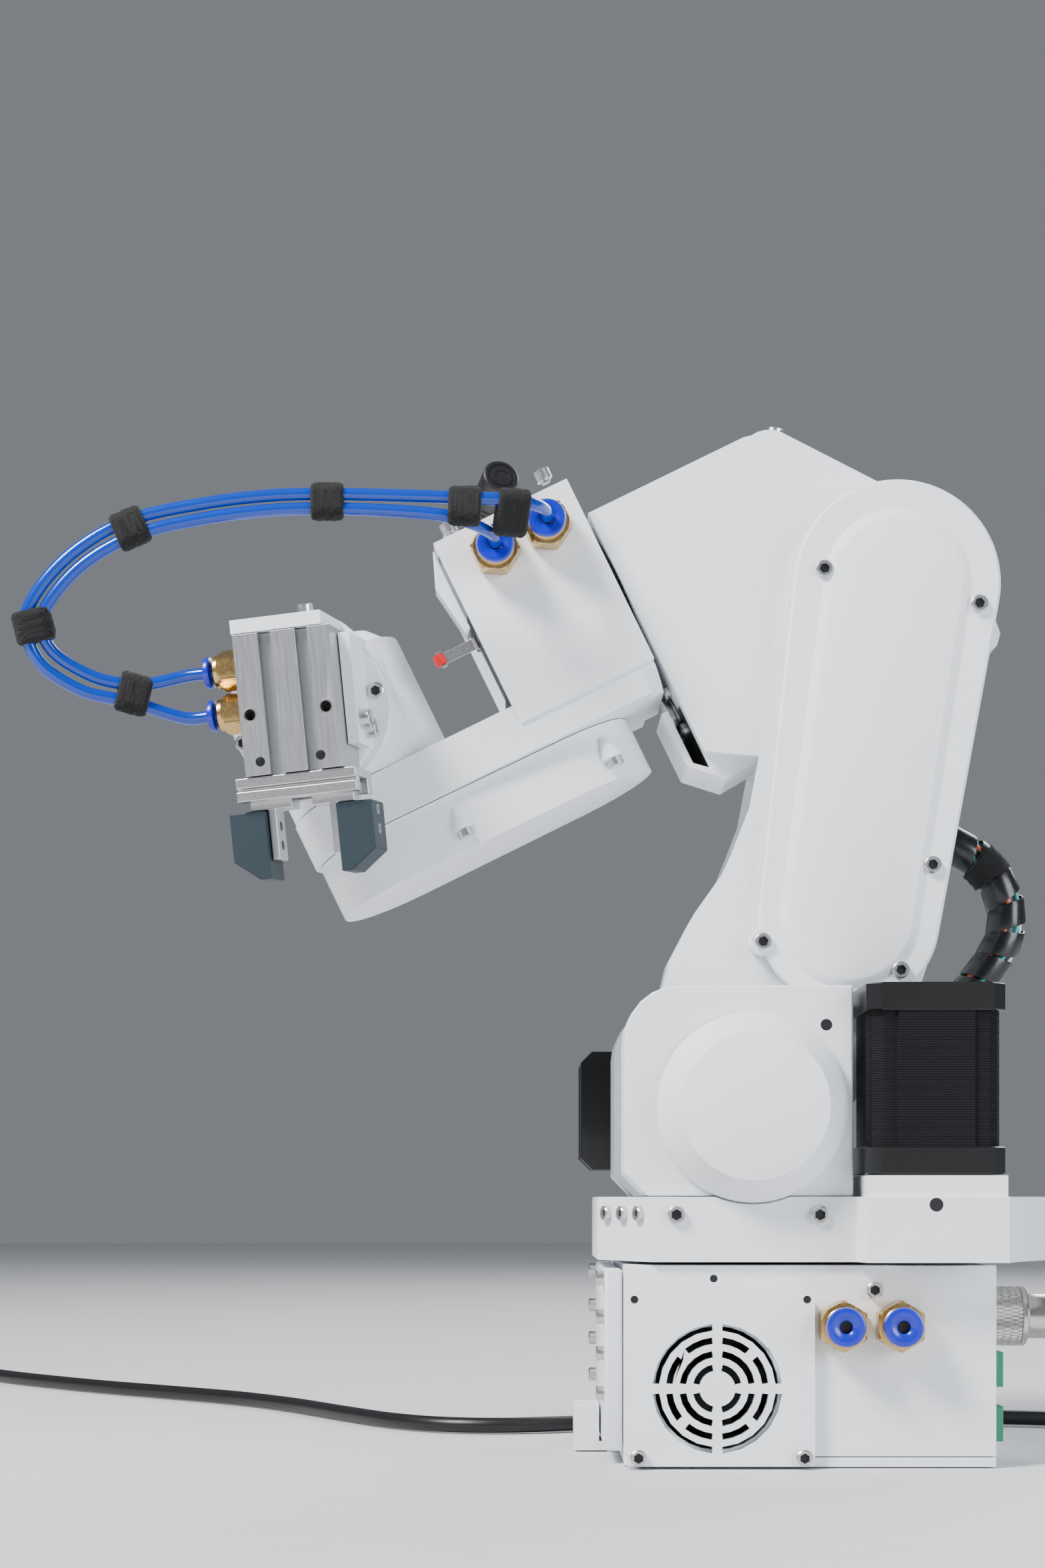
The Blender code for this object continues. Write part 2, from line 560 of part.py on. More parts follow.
def make_elbow(fore, white, black, metal, frames):
    """The elbow's shell between the arm's plates; the forearm turns on its slanted face."""
    z = ROLL_OFFSET
    outline = ([(-24.7, -28), (-22, -31), (60, -31), (ELBOW_FACE, -20.2), (ELBOW_FACE, 65.4),
                (22, 65.4)] + arc((18, 55), 10, 80, 140, 4) + [(-14, 29)]
               + arc((0, 0), 31.5, 130, 215, 6))
    shell = slab("elbow_housing", outline, -ELBOW_HALF, ELBOW_HALF, "XZ", white, fore)
    guard = slab("roll_drive_guard", [(ELBOW_FACE - 16, -30), (74.5, -31), (GUARD_FACE, -21.5),
                                      (GUARD_FACE, GUARD_TOP), (ELBOW_FACE - 2, GUARD_TOP)],
                 -16, 16, "XZ", None, fore, cutters)
    join(shell, guard)
    cut(shell, slab("elbow_room", [(30, -28), (75, -20), (75, 62), (24, 62), (18, 34),
                                   (30, 28)], -18.5, 18.5, "XZ", None, fore, cutters))
    cut(shell, rod("roll_bore", (70, 0, z), (80, 0, z), 10.3, None, fore, cutters))
    cut(shell, rod("elbow_shaft_bore", (0, -30, 0), (0, 30, 0), 6.3, None, fore, cutters))
    cut(shell, rod("roll_motor_way", (70, 0, z - ROLL_MOTOR_DROP),
                   (80, 0, z - ROLL_MOTOR_DROP), 7.5, None, fore, cutters, sides=20))
    inside = GUARD_FACE - 2.2
    cut(shell, slab("guard_room", [(ELBOW_FACE + 0.1, -25), (inside, -21.3), (inside, 0),
                                   (ELBOW_FACE + 0.1, 0)], -12.5, 20, "XZ", None, fore,
                    cutters))
    motor("roll_motor", "YZ", (0, z - ROLL_MOTOR_DROP), 38, 71.5, black, fore,
          ROLL_MOTOR_SIDE)


def make_wrist(wrist, white, dark, metal, frames):
    """The housing that turns on the forearm's axis, with a long foot under the hand."""
    z = ROLL_OFFSET
    shell = block("wrist_housing", (WRIST_BACK, -WRIST_HALF, 12.5),
                  (WRIST_FRONT, WRIST_HALF, 76.5), white, wrist)
    foot_outline = ([(WRIST_BACK + 0.5, -HAND_RADIUS - 0.9)]
                    + arc((FOREARM_LENGTH, 0), HAND_RADIUS + 0.5, -90, 90, 14)
                    + [(WRIST_BACK + 0.5, HAND_RADIUS + 0.9)])
    join(shell, slab("foot", foot_outline, 3.0, 18.8, "XY", None, wrist, cutters))
    turning = rod("roll_clearance", (79, 0, z), (86, 0, z), 85, None, wrist, cutters,
                  sides=40)
    cut(turning, rod("roll_core", (78, 0, z), (87, 0, z), 44.5, None, wrist, cutters,
                     sides=40))
    cut(shell, turning)
    cut(shell, block("motor_room", (84, -WRIST_HALF + 3, 19), (150, WRIST_HALF - 3, 73), None,
                     wrist, cutters))
    cut(shell, rod("wrist_shaft_hole", (WRIST_MOTOR_X, 0, 0), (WRIST_MOTOR_X, 0, 25), 11.2,
                   None, wrist, cutters))
    cut(shell, rod("wrist_bearing_hole", (FOREARM_LENGTH, 0, 0), (FOREARM_LENGTH, 0, 25), 9.3,
                   None, wrist, cutters))
    cut(shell, rod("roll_shaft_hole", (79, 0, z), (86, 0, z), 4.2, None, wrist, cutters,
                   sides=16))
    for index, x in enumerate(FOREARM_FITTINGS):
        cut(shell, rod(f"forearm_fitting_hole_{index}", (x, 20, FOREARM_FITTING_Z),
                       (x, 40, FOREARM_FITTING_Z), 4.4, None, wrist, cutters, sides=16))
    lid = block("wrist_lid", (82, -29, 76.8), (117, 29, 80), white, wrist, bevel=0.8)
    join(lid, block("lid_ledge", (113, -28.4, 77), (126.8, 28.4, 78), None, wrist, cutters))
    connector = rod("connector_cap", (107, -14, 80.3), (107, -14, 88), 4.5, dark, wrist,
                    sides=20)
    join(connector, rod("connector_barrel", (109, -18, 86), (96.5, 10, 91.5), 6.0, None, wrist,
                        cutters, sides=24))
    join(lid, slab("wrist_front_cover", [(125, 77.2), (128.3, 76.8), (128.3, 47), (129.8, 47),
                                         (129.8, 75), (127.5, 77.7)], -27, 26, "XZ", None,
                   wrist, cutters))
    join(lid, slab("front_cover_rib", [(128.8, 75.5), (128.8, 47.4), (131, 46), (133.5, 64)],
                   16, 27, "XZ", None, wrist, cutters))
    roll = rod("roll_pulley", (ELBOW_FACE + 0.4, 0, z), (WRIST_BACK - GAP, 0, z), ROLL_PULLEY,
               metal["steel"], wrist, sides=36)
    join(roll, rod("roll_shaft", (60, 0, z), (79, 0, z), 6.0, None, wrist, cutters, sides=20))
    cut(roll, rod("roll_shaft_bore", (58, 0, z), (82, 0, z), 4.0, None, wrist, cutters,
                  sides=16))
    far_end = (FOREARM_LENGTH, 0)
    cover = slab("wrist_belt_cover", loop_round((WRIST_MOTOR_X + 13, 0), 25, far_end, 27.5, 12),
                 -16, 2.7, "XY", white, wrist)
    cut(cover, slab("belt_cover_room", loop_round((WRIST_MOTOR_X + 2, 0), 9.5, far_end, 21.5),
                    -12.5, 4, "XY", None, wrist, cutters))
    motor("wrist_motor", "XY", (WRIST_MOTOR_X, 0), 19.4, 56, dark, wrist)


def make_hand(hand, tool, white, dark, metal):
    """The hand turns about the foot's end; its neck carries the tool flange."""
    low, high = HAND_LOW - ROLL_OFFSET, HAND_HIGH - ROLL_OFFSET
    shell = rod("hand_housing", (0, 0, low), (0, 0, high - 6), HAND_RADIUS, white, hand,
                sides=36)
    join(shell, rod("hand_dome", (0, 0, high - 7), (0, 0, high), HAND_RADIUS - 0.8, None,
                    hand, cutters, sides=36, end_radius=HAND_RADIUS - 7))
    join(shell, rod("hand_neck", (0, 0, 0), (34, 0, 0), 23.5, None, hand, cutters, sides=36))
    cut(shell, block("hand_room", (-17, -16, -16), (31, 16, 16), None, hand, cutters))
    cut(shell, rod("hand_bore", (28, 0, 0), (36, 0, 0), 6.3, None, hand, cutters, sides=20))
    motor_block = slab("hand_motor", square_with_chamfers((0, 0), 28.2, 3), -15, 26, "YZ",
                       dark, hand)
    join(motor_block, rod("hand_motor_boss", (25, 0, 0), (28, 0, 0), 5.5, None, hand, cutters,
                          sides=20))
    wheel_low = -9.0 - ROLL_OFFSET
    axle = rod("wrist_axle", (0, 0, wheel_low), (0, 0, low - GAP), 6.0, metal["steel"], hand,
               sides=20)
    join(axle, rod("wrist_pulley", (0, 0, wheel_low), (0, 0, wheel_low + BELT_WIDTH),
                   WRIST_PULLEY, None, hand, cutters, sides=32))
    flange = rod("tool_flange", (34.4, 0, 0), (38, 0, 0), 24.0, metal["nickel"], tool,
                 sides=36)
    join(flange, rod("flange_boss", (28.4, 0, 0), (35, 0, 0), 5.9, None, tool, cutters,
                     sides=20))


def make_gripper(tool, jaw_frames, white, metal, teal):
    """A bracket on the flange, a parallel gripper in it, its jaws and printed fingers."""
    bracket = slab("tool_bracket", [(-15.6, 26), (13, 26), (19.2, 20), (19.2, -14),
                                    (13, -21), (-15.6, -21)], 38.3, GRIPPER_BACK - GAP, "YZ",
                   white, tool)
    join(bracket, block("bracket_top", (40, -15.6, GRIPPER_HIGH + GAP), (GRIPPER_FACE, 13, 26),
                        None, tool, cutters))
    join(bracket, block("bracket_side", (40, GRIPPER_HALF + GAP, -14), (60, 19.2, 20), None,
                        tool, cutters))
    join(bracket, rod("bracket_disc", (38.3, 0, 0), (43, 0, 0), 26, None, tool, cutters,
                      sides=36))
    body = block("gripper_body", (GRIPPER_BACK, -GRIPPER_HALF, -GRIPPER_HIGH),
                 (GRIPPER_FACE, GRIPPER_HALF, GRIPPER_HIGH), metal["aluminium"], tool)
    for index, y in enumerate((-1.9 - 3.4, 6.4)):
        cut(body, block(f"sensor_groove_{index}", (GRIPPER_FACE - 3.2, y - 1.9, -30),
                        (GRIPPER_FACE + 2, y + 1.9, 30), None, tool, cutters))
    for index, (y, z) in enumerate(((-12.0, -3.0), (12.0, -3.0))):
        cut(body, rod(f"gripper_hole_{index}", (GRIPPER_FACE - 8, y, z),
                      (GRIPPER_FACE + 2, y, z), 2.1, None, tool, cutters, sides=16))
    for index, z in enumerate(GRIPPER_FITTINGS):
        cut(body, rod(f"air_port_{index}", (PORT_X, -GRIPPER_HALF - 2, z),
                      (PORT_X, -GRIPPER_HALF + 8.6, z), 4.3, None, tool, cutters, sides=16))
    rail = block("gripper_rail", (47.5, -RAIL_HALF, RAIL_LOW), (GRIPPER_FACE - 0.6, RAIL_HALF,
                                                              -GRIPPER_HIGH - GAP),
                 metal["steel"], tool)
    cut(rail, block("rail_groove", (GRIPPER_FACE - 2.4, -30, -25.9),
                    (GRIPPER_FACE + 1, 30, -24.9), None, tool, cutters))
    cut(rail, block("jaw_slot", (53, -30, RAIL_LOW - 1), (63.6, 30, -24.4), None, tool,
                    cutters))
    for name, side, frame in (("left", -1, jaw_frames["left"]), ("right", 1,
                                                                jaw_frames["right"])):
        near, far = sorted((side * 3.2, side * 16.5))
        jaw = block(f"jaw_{name}", (53.4, near, RAIL_LOW - 2.6), (63.2, far, -25.0),
                    metal["steel"], frame)
        outer = side * 11.0
        plate = sorted((outer, outer - side * 2.4))
        join(jaw, block(f"jaw_plate_{name}", (53.4, plate[0], RAIL_LOW - 18),
                        (63.2, plate[1], RAIL_LOW - 2), None, frame, cutters))
        start = outer + side * GAP
        end = start + side * FINGER_WIDE
        top = RAIL_LOW - 2.9
        low = top - FINGER_HIGH
        shape = [(start, top), (end, top), (end, low + 6), (start + side * 3.4, low),
                 (start, low)]
        if side > 0:
            shape.reverse()
        slab(f"finger_{name}", shape, 50.0, 66.5, "YZ", teal, frame)


def make_limit_switch(wrist, lever, dark):
    """The small switch that finds the hand's zero, with its sprung lever and red roller."""
    block("limit_switch", (116, 21.6, 37), (127.4, 26.6, 49), dark, wrist)
    arm = block("limit_lever", (0.8, -0.6, -2), (13, 0.6, 2), dark, lever)
    join(arm, rod("lever_pin", (0.8, 0, -2), (0.8, 0, 2), 0.9, None, lever, cutters,
                  sides=12))
    join(arm, rod("limit_roller", (13.5, 0, -2.6), (13.5, 0, 2.6), 2.0, None, lever, cutters,
                  sides=16))


def make_sleeve(turn, black):
    """The black wrap round the wires that pass from the deck into the upper arm."""
    tube("arm_conduit", smooth_route(SLEEVE_ROUTE, 8.0), SLEEVE_RADIUS, black, turn, 3)


def make_hoses(frame, blue):
    """Two air hoses that loop from the forearm's fittings to the gripper's."""
    for name, route in HOSE_ROUTES.items():
        tube(name, smooth_route(route, 7.0), HOSE_RADIUS, blue, frame)


def make_plug(name, start, heading, barrel_first, metal, frame):
    """A round plug: a coupling ring, and a barrel that the cable comes out of."""
    ring_long, barrel_long = PLUG_RING_END - PLUG_START, PLUG_END - PLUG_RING_END
    start, heading = Vector(start), Vector(heading)
    if barrel_first:
        start, heading = start + heading * (barrel_long + ring_long), -heading
    middle = start + heading * ring_long
    plug = rod(name, start, middle, PLUG_RADIUS, metal, frame, sides=32)
    join(plug, rod(name + "_barrel", middle - heading, middle + heading * barrel_long,
                   BARREL_RADIUS, None, frame, cutters))


def make_cable(base, black, nickel):
    """The supply cable: its plug in the rear socket, its run, its flat coil and its far plug."""
    make_plug("cable_plug", (PLUG_START, PLUG_Y, PLUG_Z), (1, 0, 0), False, nickel, base)
    tube("cable", smooth_route(CABLE_ROUTE, 14.0), CABLE_RADIUS, black, base)
    coil = ring("cable_coil", "XY", (COIL_X, COIL_Y), COIL_OUTER + CABLE_RADIUS,
                COIL_INNER - CABLE_RADIUS, 0.0, 2 * CABLE_RADIUS, black, base)
    tail_x = COIL_X - COIL_INNER
    join(coil, rod("cable_tail", (tail_x, COIL_Y, 2.9 * CABLE_RADIUS),
                   (tail_x, FAR_PLUG_Y + GAP, PLUG_RADIUS), CABLE_RADIUS, None, base, cutters,
                   sides=12))
    make_plug("cable_end", (tail_x, FAR_PLUG_Y, PLUG_RADIUS), (0, -1, 0), True, nickel, base)


def build():
    global parts, cutters
    clear_scene()
    parts = new_collection("robot_arm")
    cutters = new_collection("cutters")
    cutters.hide_render = True
    white = paint("printed_white", (0.83, 0.85, 0.88), 0.55)
    black = paint("motor_black", (0.02, 0.02, 0.022), 0.4)
    dark = paint("dark_plastic", (0.03, 0.03, 0.035), 0.5)
    teal = paint("finger_teal", (0.03, 0.07, 0.09), 0.6)
    green = paint("terminal_green", (0.03, 0.3, 0.16), 0.5)
    hose = paint("hose_blue", (0.01, 0.14, 0.7), 0.25)
    cable = paint("cable_black", (0.012, 0.012, 0.013), 0.45)
    sleeve = paint("sleeve_black", (0.015, 0.015, 0.016), 0.4)
    metal = {
        "steel": paint("steel", (0.6, 0.6, 0.6), 0.3, 1.0),
        "nickel": paint("nickel", (0.65, 0.62, 0.58), 0.3, 1.0),
        "aluminium": paint("aluminium", (0.62, 0.63, 0.66), 0.4, 1.0),
        "brass": paint("brass", (0.6, 0.42, 0.16), 0.3, 1.0),
    }
    base = frame_at("base_frame", Matrix.Identity(4))
    turn = frame_at("waist_axis", Matrix.Identity(4))
    shoulder = Matrix.Translation((SHOULDER_X, 0, SHOULDER_Z)) @ Matrix.Rotation(
        math.radians(UPPER_ARM_LEAN), 4, "Y")
    upper = frame_at("shoulder_axis", shoulder, turn)
    slope = math.radians(FOREARM_SLOPE)
    elbow_at = shoulder @ Vector((0, 0, UPPER_ARM_LENGTH))
    forward = Vector((-math.cos(slope), 0, -math.sin(slope)))
    upward = Vector((-math.sin(slope), 0, math.cos(slope)))
    forearm = Matrix((forward, (0, -1, 0), upward)).transposed().to_4x4()
    forearm.translation = elbow_at
    fore = frame_at("elbow_axis", forearm)
    elbow_world = frame_at("elbow_pulley_frame", Matrix.Translation(elbow_at))
    roll_at = Vector((WRIST_BACK, 0, ROLL_OFFSET))
    roll = frame_at("roll_axis", forearm @ Matrix.Translation(roll_at))
    wrist = frame_at("wrist_frame", Matrix.Translation(-roll_at), roll)
    wrist_at = forearm @ Matrix.Translation((FOREARM_LENGTH, 0, ROLL_OFFSET))
    hand_matrix = wrist_at @ Matrix.Rotation(math.radians(WRIST_TURN), 4, "Z")
    hand = frame_at("wrist_axis", hand_matrix)
    tool_matrix = hand_matrix @ Matrix.Rotation(math.radians(TOOL_TURN), 4, "X")
    tool = frame_at("tool_axis", tool_matrix)
    frames = {
        "fan": frame_at("fan_axis", Matrix.Translation((FAN_X, 0, FAN_Z))),
        "waist_pinion": frame_at("waist_pinion_axis", Matrix.Translation(
            (WAIST_MOTOR_X, WAIST_MOTOR_Y, 0)), turn),
        "shoulder_pinion": frame_at("shoulder_pinion_axis", Matrix.Translation(
            (SHOULDER_MOTOR_X, 0, SHOULDER_MOTOR_Z)), turn),
        "elbow_world": elbow_world,
        "elbow_pinion": frame_at("elbow_pinion_axis", Matrix.Translation(
            shoulder @ Vector((ELBOW_MOTOR_X, 0, ELBOW_MOTOR_Z)))),
    }
    make_base(base, white, dark, metal, green, frames)
    make_turntable(turn, white, black, metal, frames)
    make_upper_arm(upper, white, black, metal, frames)
    make_elbow(fore, white, black, metal, frames)
    make_wrist(wrist, white, dark, metal, frames)
    lever = frame_at("lever_axis", forearm @ Matrix.Translation(LEVER_AT))
    make_limit_switch(wrist, lever, dark)
    for index, x in enumerate(FOREARM_FITTINGS):
        fitting(f"forearm_fitting_{index + 1}", (x, WRIST_HALF + GAP, FOREARM_FITTING_Z),
                (0, 1, 0), metal["brass"], wrist)
    make_hand(hand, tool, white, dark, metal)
    make_gripper(tool, {"left": frame_at("jaw_left_frame", tool_matrix),
                        "right": frame_at("jaw_right_frame", tool_matrix)}, white, metal, teal)
    for index, z in enumerate(GRIPPER_FITTINGS):
        fitting(f"gripper_fitting_{index + 1}", (PORT_X, -GRIPPER_HALF - GAP, z), (0, -1, 0),
                metal["brass"], tool, GRIPPER_FITTING_FLATS)
    make_sleeve(turn, sleeve)
    make_hoses(base, hose)
    make_cable(base, cable, metal["nickel"])


build()
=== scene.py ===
"""Desktop six-axis robot arm with an air gripper: the looks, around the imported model.

Places are in millimetres in the arm's own frames, which are worked out from the record's
joints, and every mesh is scaled once, by MM.
"""

import json
import math

import bmesh
import bpy
from mathutils import Matrix, Vector, noise


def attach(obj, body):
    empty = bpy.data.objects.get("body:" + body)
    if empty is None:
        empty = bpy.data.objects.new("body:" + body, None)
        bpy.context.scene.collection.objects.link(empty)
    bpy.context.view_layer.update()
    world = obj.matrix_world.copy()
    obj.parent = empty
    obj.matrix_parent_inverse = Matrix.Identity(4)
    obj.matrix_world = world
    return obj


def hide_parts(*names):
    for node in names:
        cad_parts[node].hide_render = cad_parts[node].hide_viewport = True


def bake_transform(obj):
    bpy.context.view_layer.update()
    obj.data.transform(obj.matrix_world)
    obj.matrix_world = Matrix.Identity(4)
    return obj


MM = 0.001
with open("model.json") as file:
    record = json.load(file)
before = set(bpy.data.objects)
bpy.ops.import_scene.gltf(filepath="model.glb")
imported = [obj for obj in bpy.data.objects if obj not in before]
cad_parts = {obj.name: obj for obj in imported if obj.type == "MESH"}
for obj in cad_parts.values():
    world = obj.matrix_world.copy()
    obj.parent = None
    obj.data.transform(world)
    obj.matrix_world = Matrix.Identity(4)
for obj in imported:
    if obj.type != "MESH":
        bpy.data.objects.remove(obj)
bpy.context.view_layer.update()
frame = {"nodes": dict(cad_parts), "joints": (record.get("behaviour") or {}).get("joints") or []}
joints = {joint["name"]: joint for joint in frame["joints"]}


def axis(name):
    return Vector(joints[name]["axis"]).normalized()


def pivot(name):
    return Vector(joints[name]["pos_m"])


def basis(origin, x, z):
    """A frame with its X and Z along the given directions."""
    matrix = Matrix((x, z.cross(x), z)).transposed().to_4x4()
    matrix.translation = origin
    return matrix


WORLD = Matrix.Identity(4)
UP_ARM = (pivot("elbow") - pivot("shoulder")).normalized()
UPPER = basis(pivot("shoulder"), Vector((0, 1, 0)).cross(UP_ARM), UP_ARM)
FORE = basis(pivot("elbow"), axis("forearm_roll"), axis("wrist"))
HAND = basis(pivot("wrist"), axis("tool_roll"), axis("wrist"))
TOOL = basis(pivot("wrist"), axis("tool_roll"),
             axis("tool_roll").cross(axis("jaw_left_slide")))

# ---------------------------------------------------------------- camera, floor and light

CAMERA_AT = (-94, -845, 82)
SENSOR_WIDTH = 36.0
FOCAL_LENGTH = 87.75
CAMERA_SHIFT = 0.398
FLOOR_HALF_SIZE = 4.0
FLOOR_DROP = 0.0004
SKY_COLOR, SKY_STRENGTH = (0.75, 0.8, 0.88, 1), 0.27
LIGHTS_AIM = (-0.05, 0, 0.17)
# Name, place and size in metres, power in watts, tint
LIGHTS = (("key", (-1.15, -0.85, 1.5), 0.55, 84, (1.0, 0.985, 0.96)),
          ("fill", (1.2, -1.1, 0.5), 0.9, 24, (0.9, 0.95, 1.0)),
          ("rim", (0.7, 1.2, 1.2), 1.0, 22, (0.95, 0.97, 1.0)))


def set_the_stage():
    scene = bpy.context.scene
    camera_data = bpy.data.cameras.new("camera")
    camera_data.sensor_fit = "HORIZONTAL"
    camera_data.sensor_width = SENSOR_WIDTH
    camera_data.lens = FOCAL_LENGTH
    camera_data.shift_y = CAMERA_SHIFT
    camera_data.clip_start = 0.01
    camera_data.dof.use_dof = False
    camera = bpy.data.objects.new("camera", camera_data)
    camera.location = Vector(CAMERA_AT) * MM
    camera.rotation_euler = (math.pi / 2, 0, 0)
    scene.collection.objects.link(camera)
    scene.camera = camera

    floor_mesh = bpy.data.meshes.new("floor")
    bm = bmesh.new()
    bmesh.ops.create_grid(bm, x_segments=1, y_segments=1, size=FLOOR_HALF_SIZE)
    bm.to_mesh(floor_mesh)
    bm.free()
    floor = bpy.data.objects.new("floor", floor_mesh)
    floor.location = (0, 0, -FLOOR_DROP)
    scene.collection.objects.link(floor)
    floor_mesh.materials.append(surface("floor_pale", (0.62, 0.63, 0.65), 0.7, mottle=0.04))

    world = bpy.data.worlds.new("studio")
    scene.world = world
    world.use_nodes = True
    sky = world.node_tree.nodes["Background"]
    sky.inputs["Color"].default_value = SKY_COLOR
    sky.inputs["Strength"].default_value = SKY_STRENGTH
    for name, at, size, power, tint in LIGHTS:
        light_data = bpy.data.lights.new(name, "AREA")
        light_data.size = size
        light_data.energy = power
        light_data.color = tint
        light = bpy.data.objects.new(name, light_data)
        light.location = at
        aim = Vector(LIGHTS_AIM) - light.location
        light.rotation_euler = aim.to_track_quat("-Z", "Y").to_euler()
        scene.collection.objects.link(light)


# ---------------------------------------------------------------- materials

def surface(name, color, roughness, metallic=0.0, mottle=0.03, grain=900.0, bump=0.0,
            bump_depth=0.03, lines=None, line_step=0.4, coat=0.0, sheen=0.0, stretch=(1, 1, 1),
            turn=WORLD):
    """A procedural finish: mottled colour and roughness, grain, and the lines of a print."""
    material = bpy.data.materials.new(name)
    material.use_nodes = True
    nodes, links = material.node_tree.nodes, material.node_tree.links
    shader = nodes["Principled BSDF"]
    shader.inputs["Metallic"].default_value = metallic
    shader.inputs["Coat Weight"].default_value = coat
    shader.inputs["Coat Roughness"].default_value = 0.08
    shader.inputs["Sheen Weight"].default_value = sheen
    place = nodes.new("ShaderNodeTexCoord")
    mapping = nodes.new("ShaderNodeMapping")
    mapping.inputs["Scale"].default_value = stretch
    turning = nodes.new("ShaderNodeMapping")
    turning.inputs["Rotation"].default_value = turn.to_3x3().inverted().to_euler()
    links.new(place.outputs["Object"], turning.inputs["Vector"])
    links.new(turning.outputs["Vector"], mapping.inputs["Vector"])

    broad = nodes.new("ShaderNodeTexNoise")
    broad.inputs["Scale"].default_value = 60
    broad.inputs["Detail"].default_value = 4
    links.new(mapping.outputs["Vector"], broad.inputs["Vector"])
    fine = nodes.new("ShaderNodeTexNoise")
    fine.inputs["Scale"].default_value = grain
    fine.inputs["Detail"].default_value = 3
    links.new(mapping.outputs["Vector"], fine.inputs["Vector"])

    ramp = nodes.new("ShaderNodeMixRGB")
    ramp.inputs["Color1"].default_value = (*[c * (1 - mottle) for c in color], 1)
    ramp.inputs["Color2"].default_value = (*[min(1, c * (1 + mottle)) for c in color], 1)
    links.new(broad.outputs["Fac"], ramp.inputs["Fac"])
    links.new(ramp.outputs["Color"], shader.inputs["Base Color"])

    shine = nodes.new("ShaderNodeMapRange")
    shine.inputs["To Min"].default_value = max(0.02, roughness - 0.1)
    shine.inputs["To Max"].default_value = min(1, roughness + 0.1)
    links.new(fine.outputs["Fac"], shine.inputs["Value"])
    links.new(shine.outputs["Result"], shader.inputs["Roughness"])

    height = fine.outputs["Fac"]
    if lines:
        wave = nodes.new("ShaderNodeTexWave")
        wave.wave_type = "BANDS"
        wave.bands_direction = lines
        wave.inputs["Scale"].default_value = math.tau / (20 * line_step * MM)
        wave.inputs["Distortion"].default_value = 0.6
        wave.inputs["Detail"].default_value = 1
        wave.inputs["Detail Scale"].default_value = 0.3
        links.new(turning.outputs["Vector"], wave.inputs["Vector"])
        both = nodes.new("ShaderNodeMixRGB")
        both.inputs["Fac"].default_value = 0.55
        links.new(fine.outputs["Fac"], both.inputs["Color1"])
        links.new(wave.outputs["Color"], both.inputs["Color2"])
        height = both.outputs["Color"]
    if bump:
        bumps = nodes.new("ShaderNodeBump")
        bumps.inputs["Strength"].default_value = bump
        bumps.inputs["Distance"].default_value = bump_depth * MM
        links.new(height, bumps.inputs["Height"])
        links.new(bumps.outputs["Normal"], shader.inputs["Normal"])
    return material


def make_materials():
    made = {}
    for name, turn, way in (("white", WORLD, "Z"), ("white_cap", WORLD, "Y"),
                            ("white_flat", WORLD, "DIAGONAL"),
                            ("white_upper", UPPER, "DIAGONAL"), ("white_fore", FORE, "Z"),
                            ("white_fore_flat", FORE, "DIAGONAL"), ("white_hand", HAND, "Z"),
                            ("white_tool", TOOL, "DIAGONAL")):
        made[name] = surface("printed_" + name, (0.80, 0.825, 0.86), 0.5, mottle=0.03,
                             grain=1400, bump=0.8, bump_depth=0.09, lines=way, turn=turn)
    made["black"] = surface("motor_black", (0.004, 0.004, 0.0045), 0.4, metallic=0.2,
                            grain=2500, bump=0.25, coat=0.15)
    # Dark stator metal; the same material also paints shade at the floors of the gripper's
    # threaded bores.
    made["stator"] = surface("motor_stator_and_painted_shade", (0.012, 0.012, 0.014), 0.42, metallic=0.5,
                             grain=2500, bump=0.3)
    # Dark plastic; the same material also paints shade on hole discs, screw socket floors, open
    # fitting bores, terminal openings and the elbow's guard sheet.
    made["dark"] = surface("dark_plastic", (0.006, 0.006, 0.007), 0.45, grain=1800, bump=0.3)
    made["teal"] = surface("finger_teal", (0.005, 0.018, 0.028), 0.55, grain=1200, bump=0.5,
                           lines="Z", line_step=0.35, turn=TOOL)
    made["green"] = surface("terminal_green", (0.015, 0.22, 0.11), 0.45, bump=0.2)
    made["board"] = surface("board_green", (0.01, 0.1, 0.04), 0.4, bump=0.2)
    made["hose"] = surface("hose_blue", (0.0, 0.035, 0.34), 0.16, mottle=0.05, grain=300,
                           bump=0.08, coat=0.35)
    made["collet"] = surface("collet_blue", (0.0, 0.008, 0.42), 0.3, bump=0.15, coat=0.3)
    made["cable"] = surface("cable_black", (0.005, 0.005, 0.0055), 0.4, grain=1200, bump=0.3)
    made["wrap"] = surface("sleeve_black", (0.005, 0.005, 0.0055), 0.3, grain=700, bump=0.4,
                           coat=0.2)
    made["fuzz"] = surface("tie_black", (0.004, 0.004, 0.0045), 0.95, grain=2600, bump=1.0,
                           bump_depth=0.4, sheen=0.05)
    made["steel"] = surface("steel", (0.6, 0.6, 0.605), 0.32, metallic=1.0, grain=1500,
                            bump=0.12)
    made["nickel"] = surface("nickel", (0.62, 0.59, 0.55), 0.25, metallic=1.0, grain=1800,
                             bump=0.15)
    made["aluminium"] = surface("aluminium", (0.5, 0.51, 0.53), 0.38, metallic=1.0,
                                grain=2600, bump=0.4, bump_depth=0.02, mottle=0.06,
                                stretch=(1, 1, 0.04), turn=TOOL)
    made["brass"] = surface("brass", (0.6, 0.4, 0.16), 0.27, metallic=1.0, mottle=0.15,
                            grain=900, bump=0.2)
    made["belt"] = surface("belt_rubber", (0.012, 0.012, 0.012), 0.75, grain=1500, bump=0.5)
    made["red"] = surface("roller_red", (0.6, 0.012, 0.01), 0.35, bump=0.2)
    for name, color in (("wire_red", (0.75, 0.14, 0.05)), ("wire_teal", (0.0, 0.32, 0.3)),
                        ("wire_white", (0.75, 0.75, 0.75)), ("wire_blue", (0.02, 0.02, 0.4))):
        made[name] = surface(name, color, 0.35, bump=0.1)
    return made


# ---------------------------------------------------------------- shapes

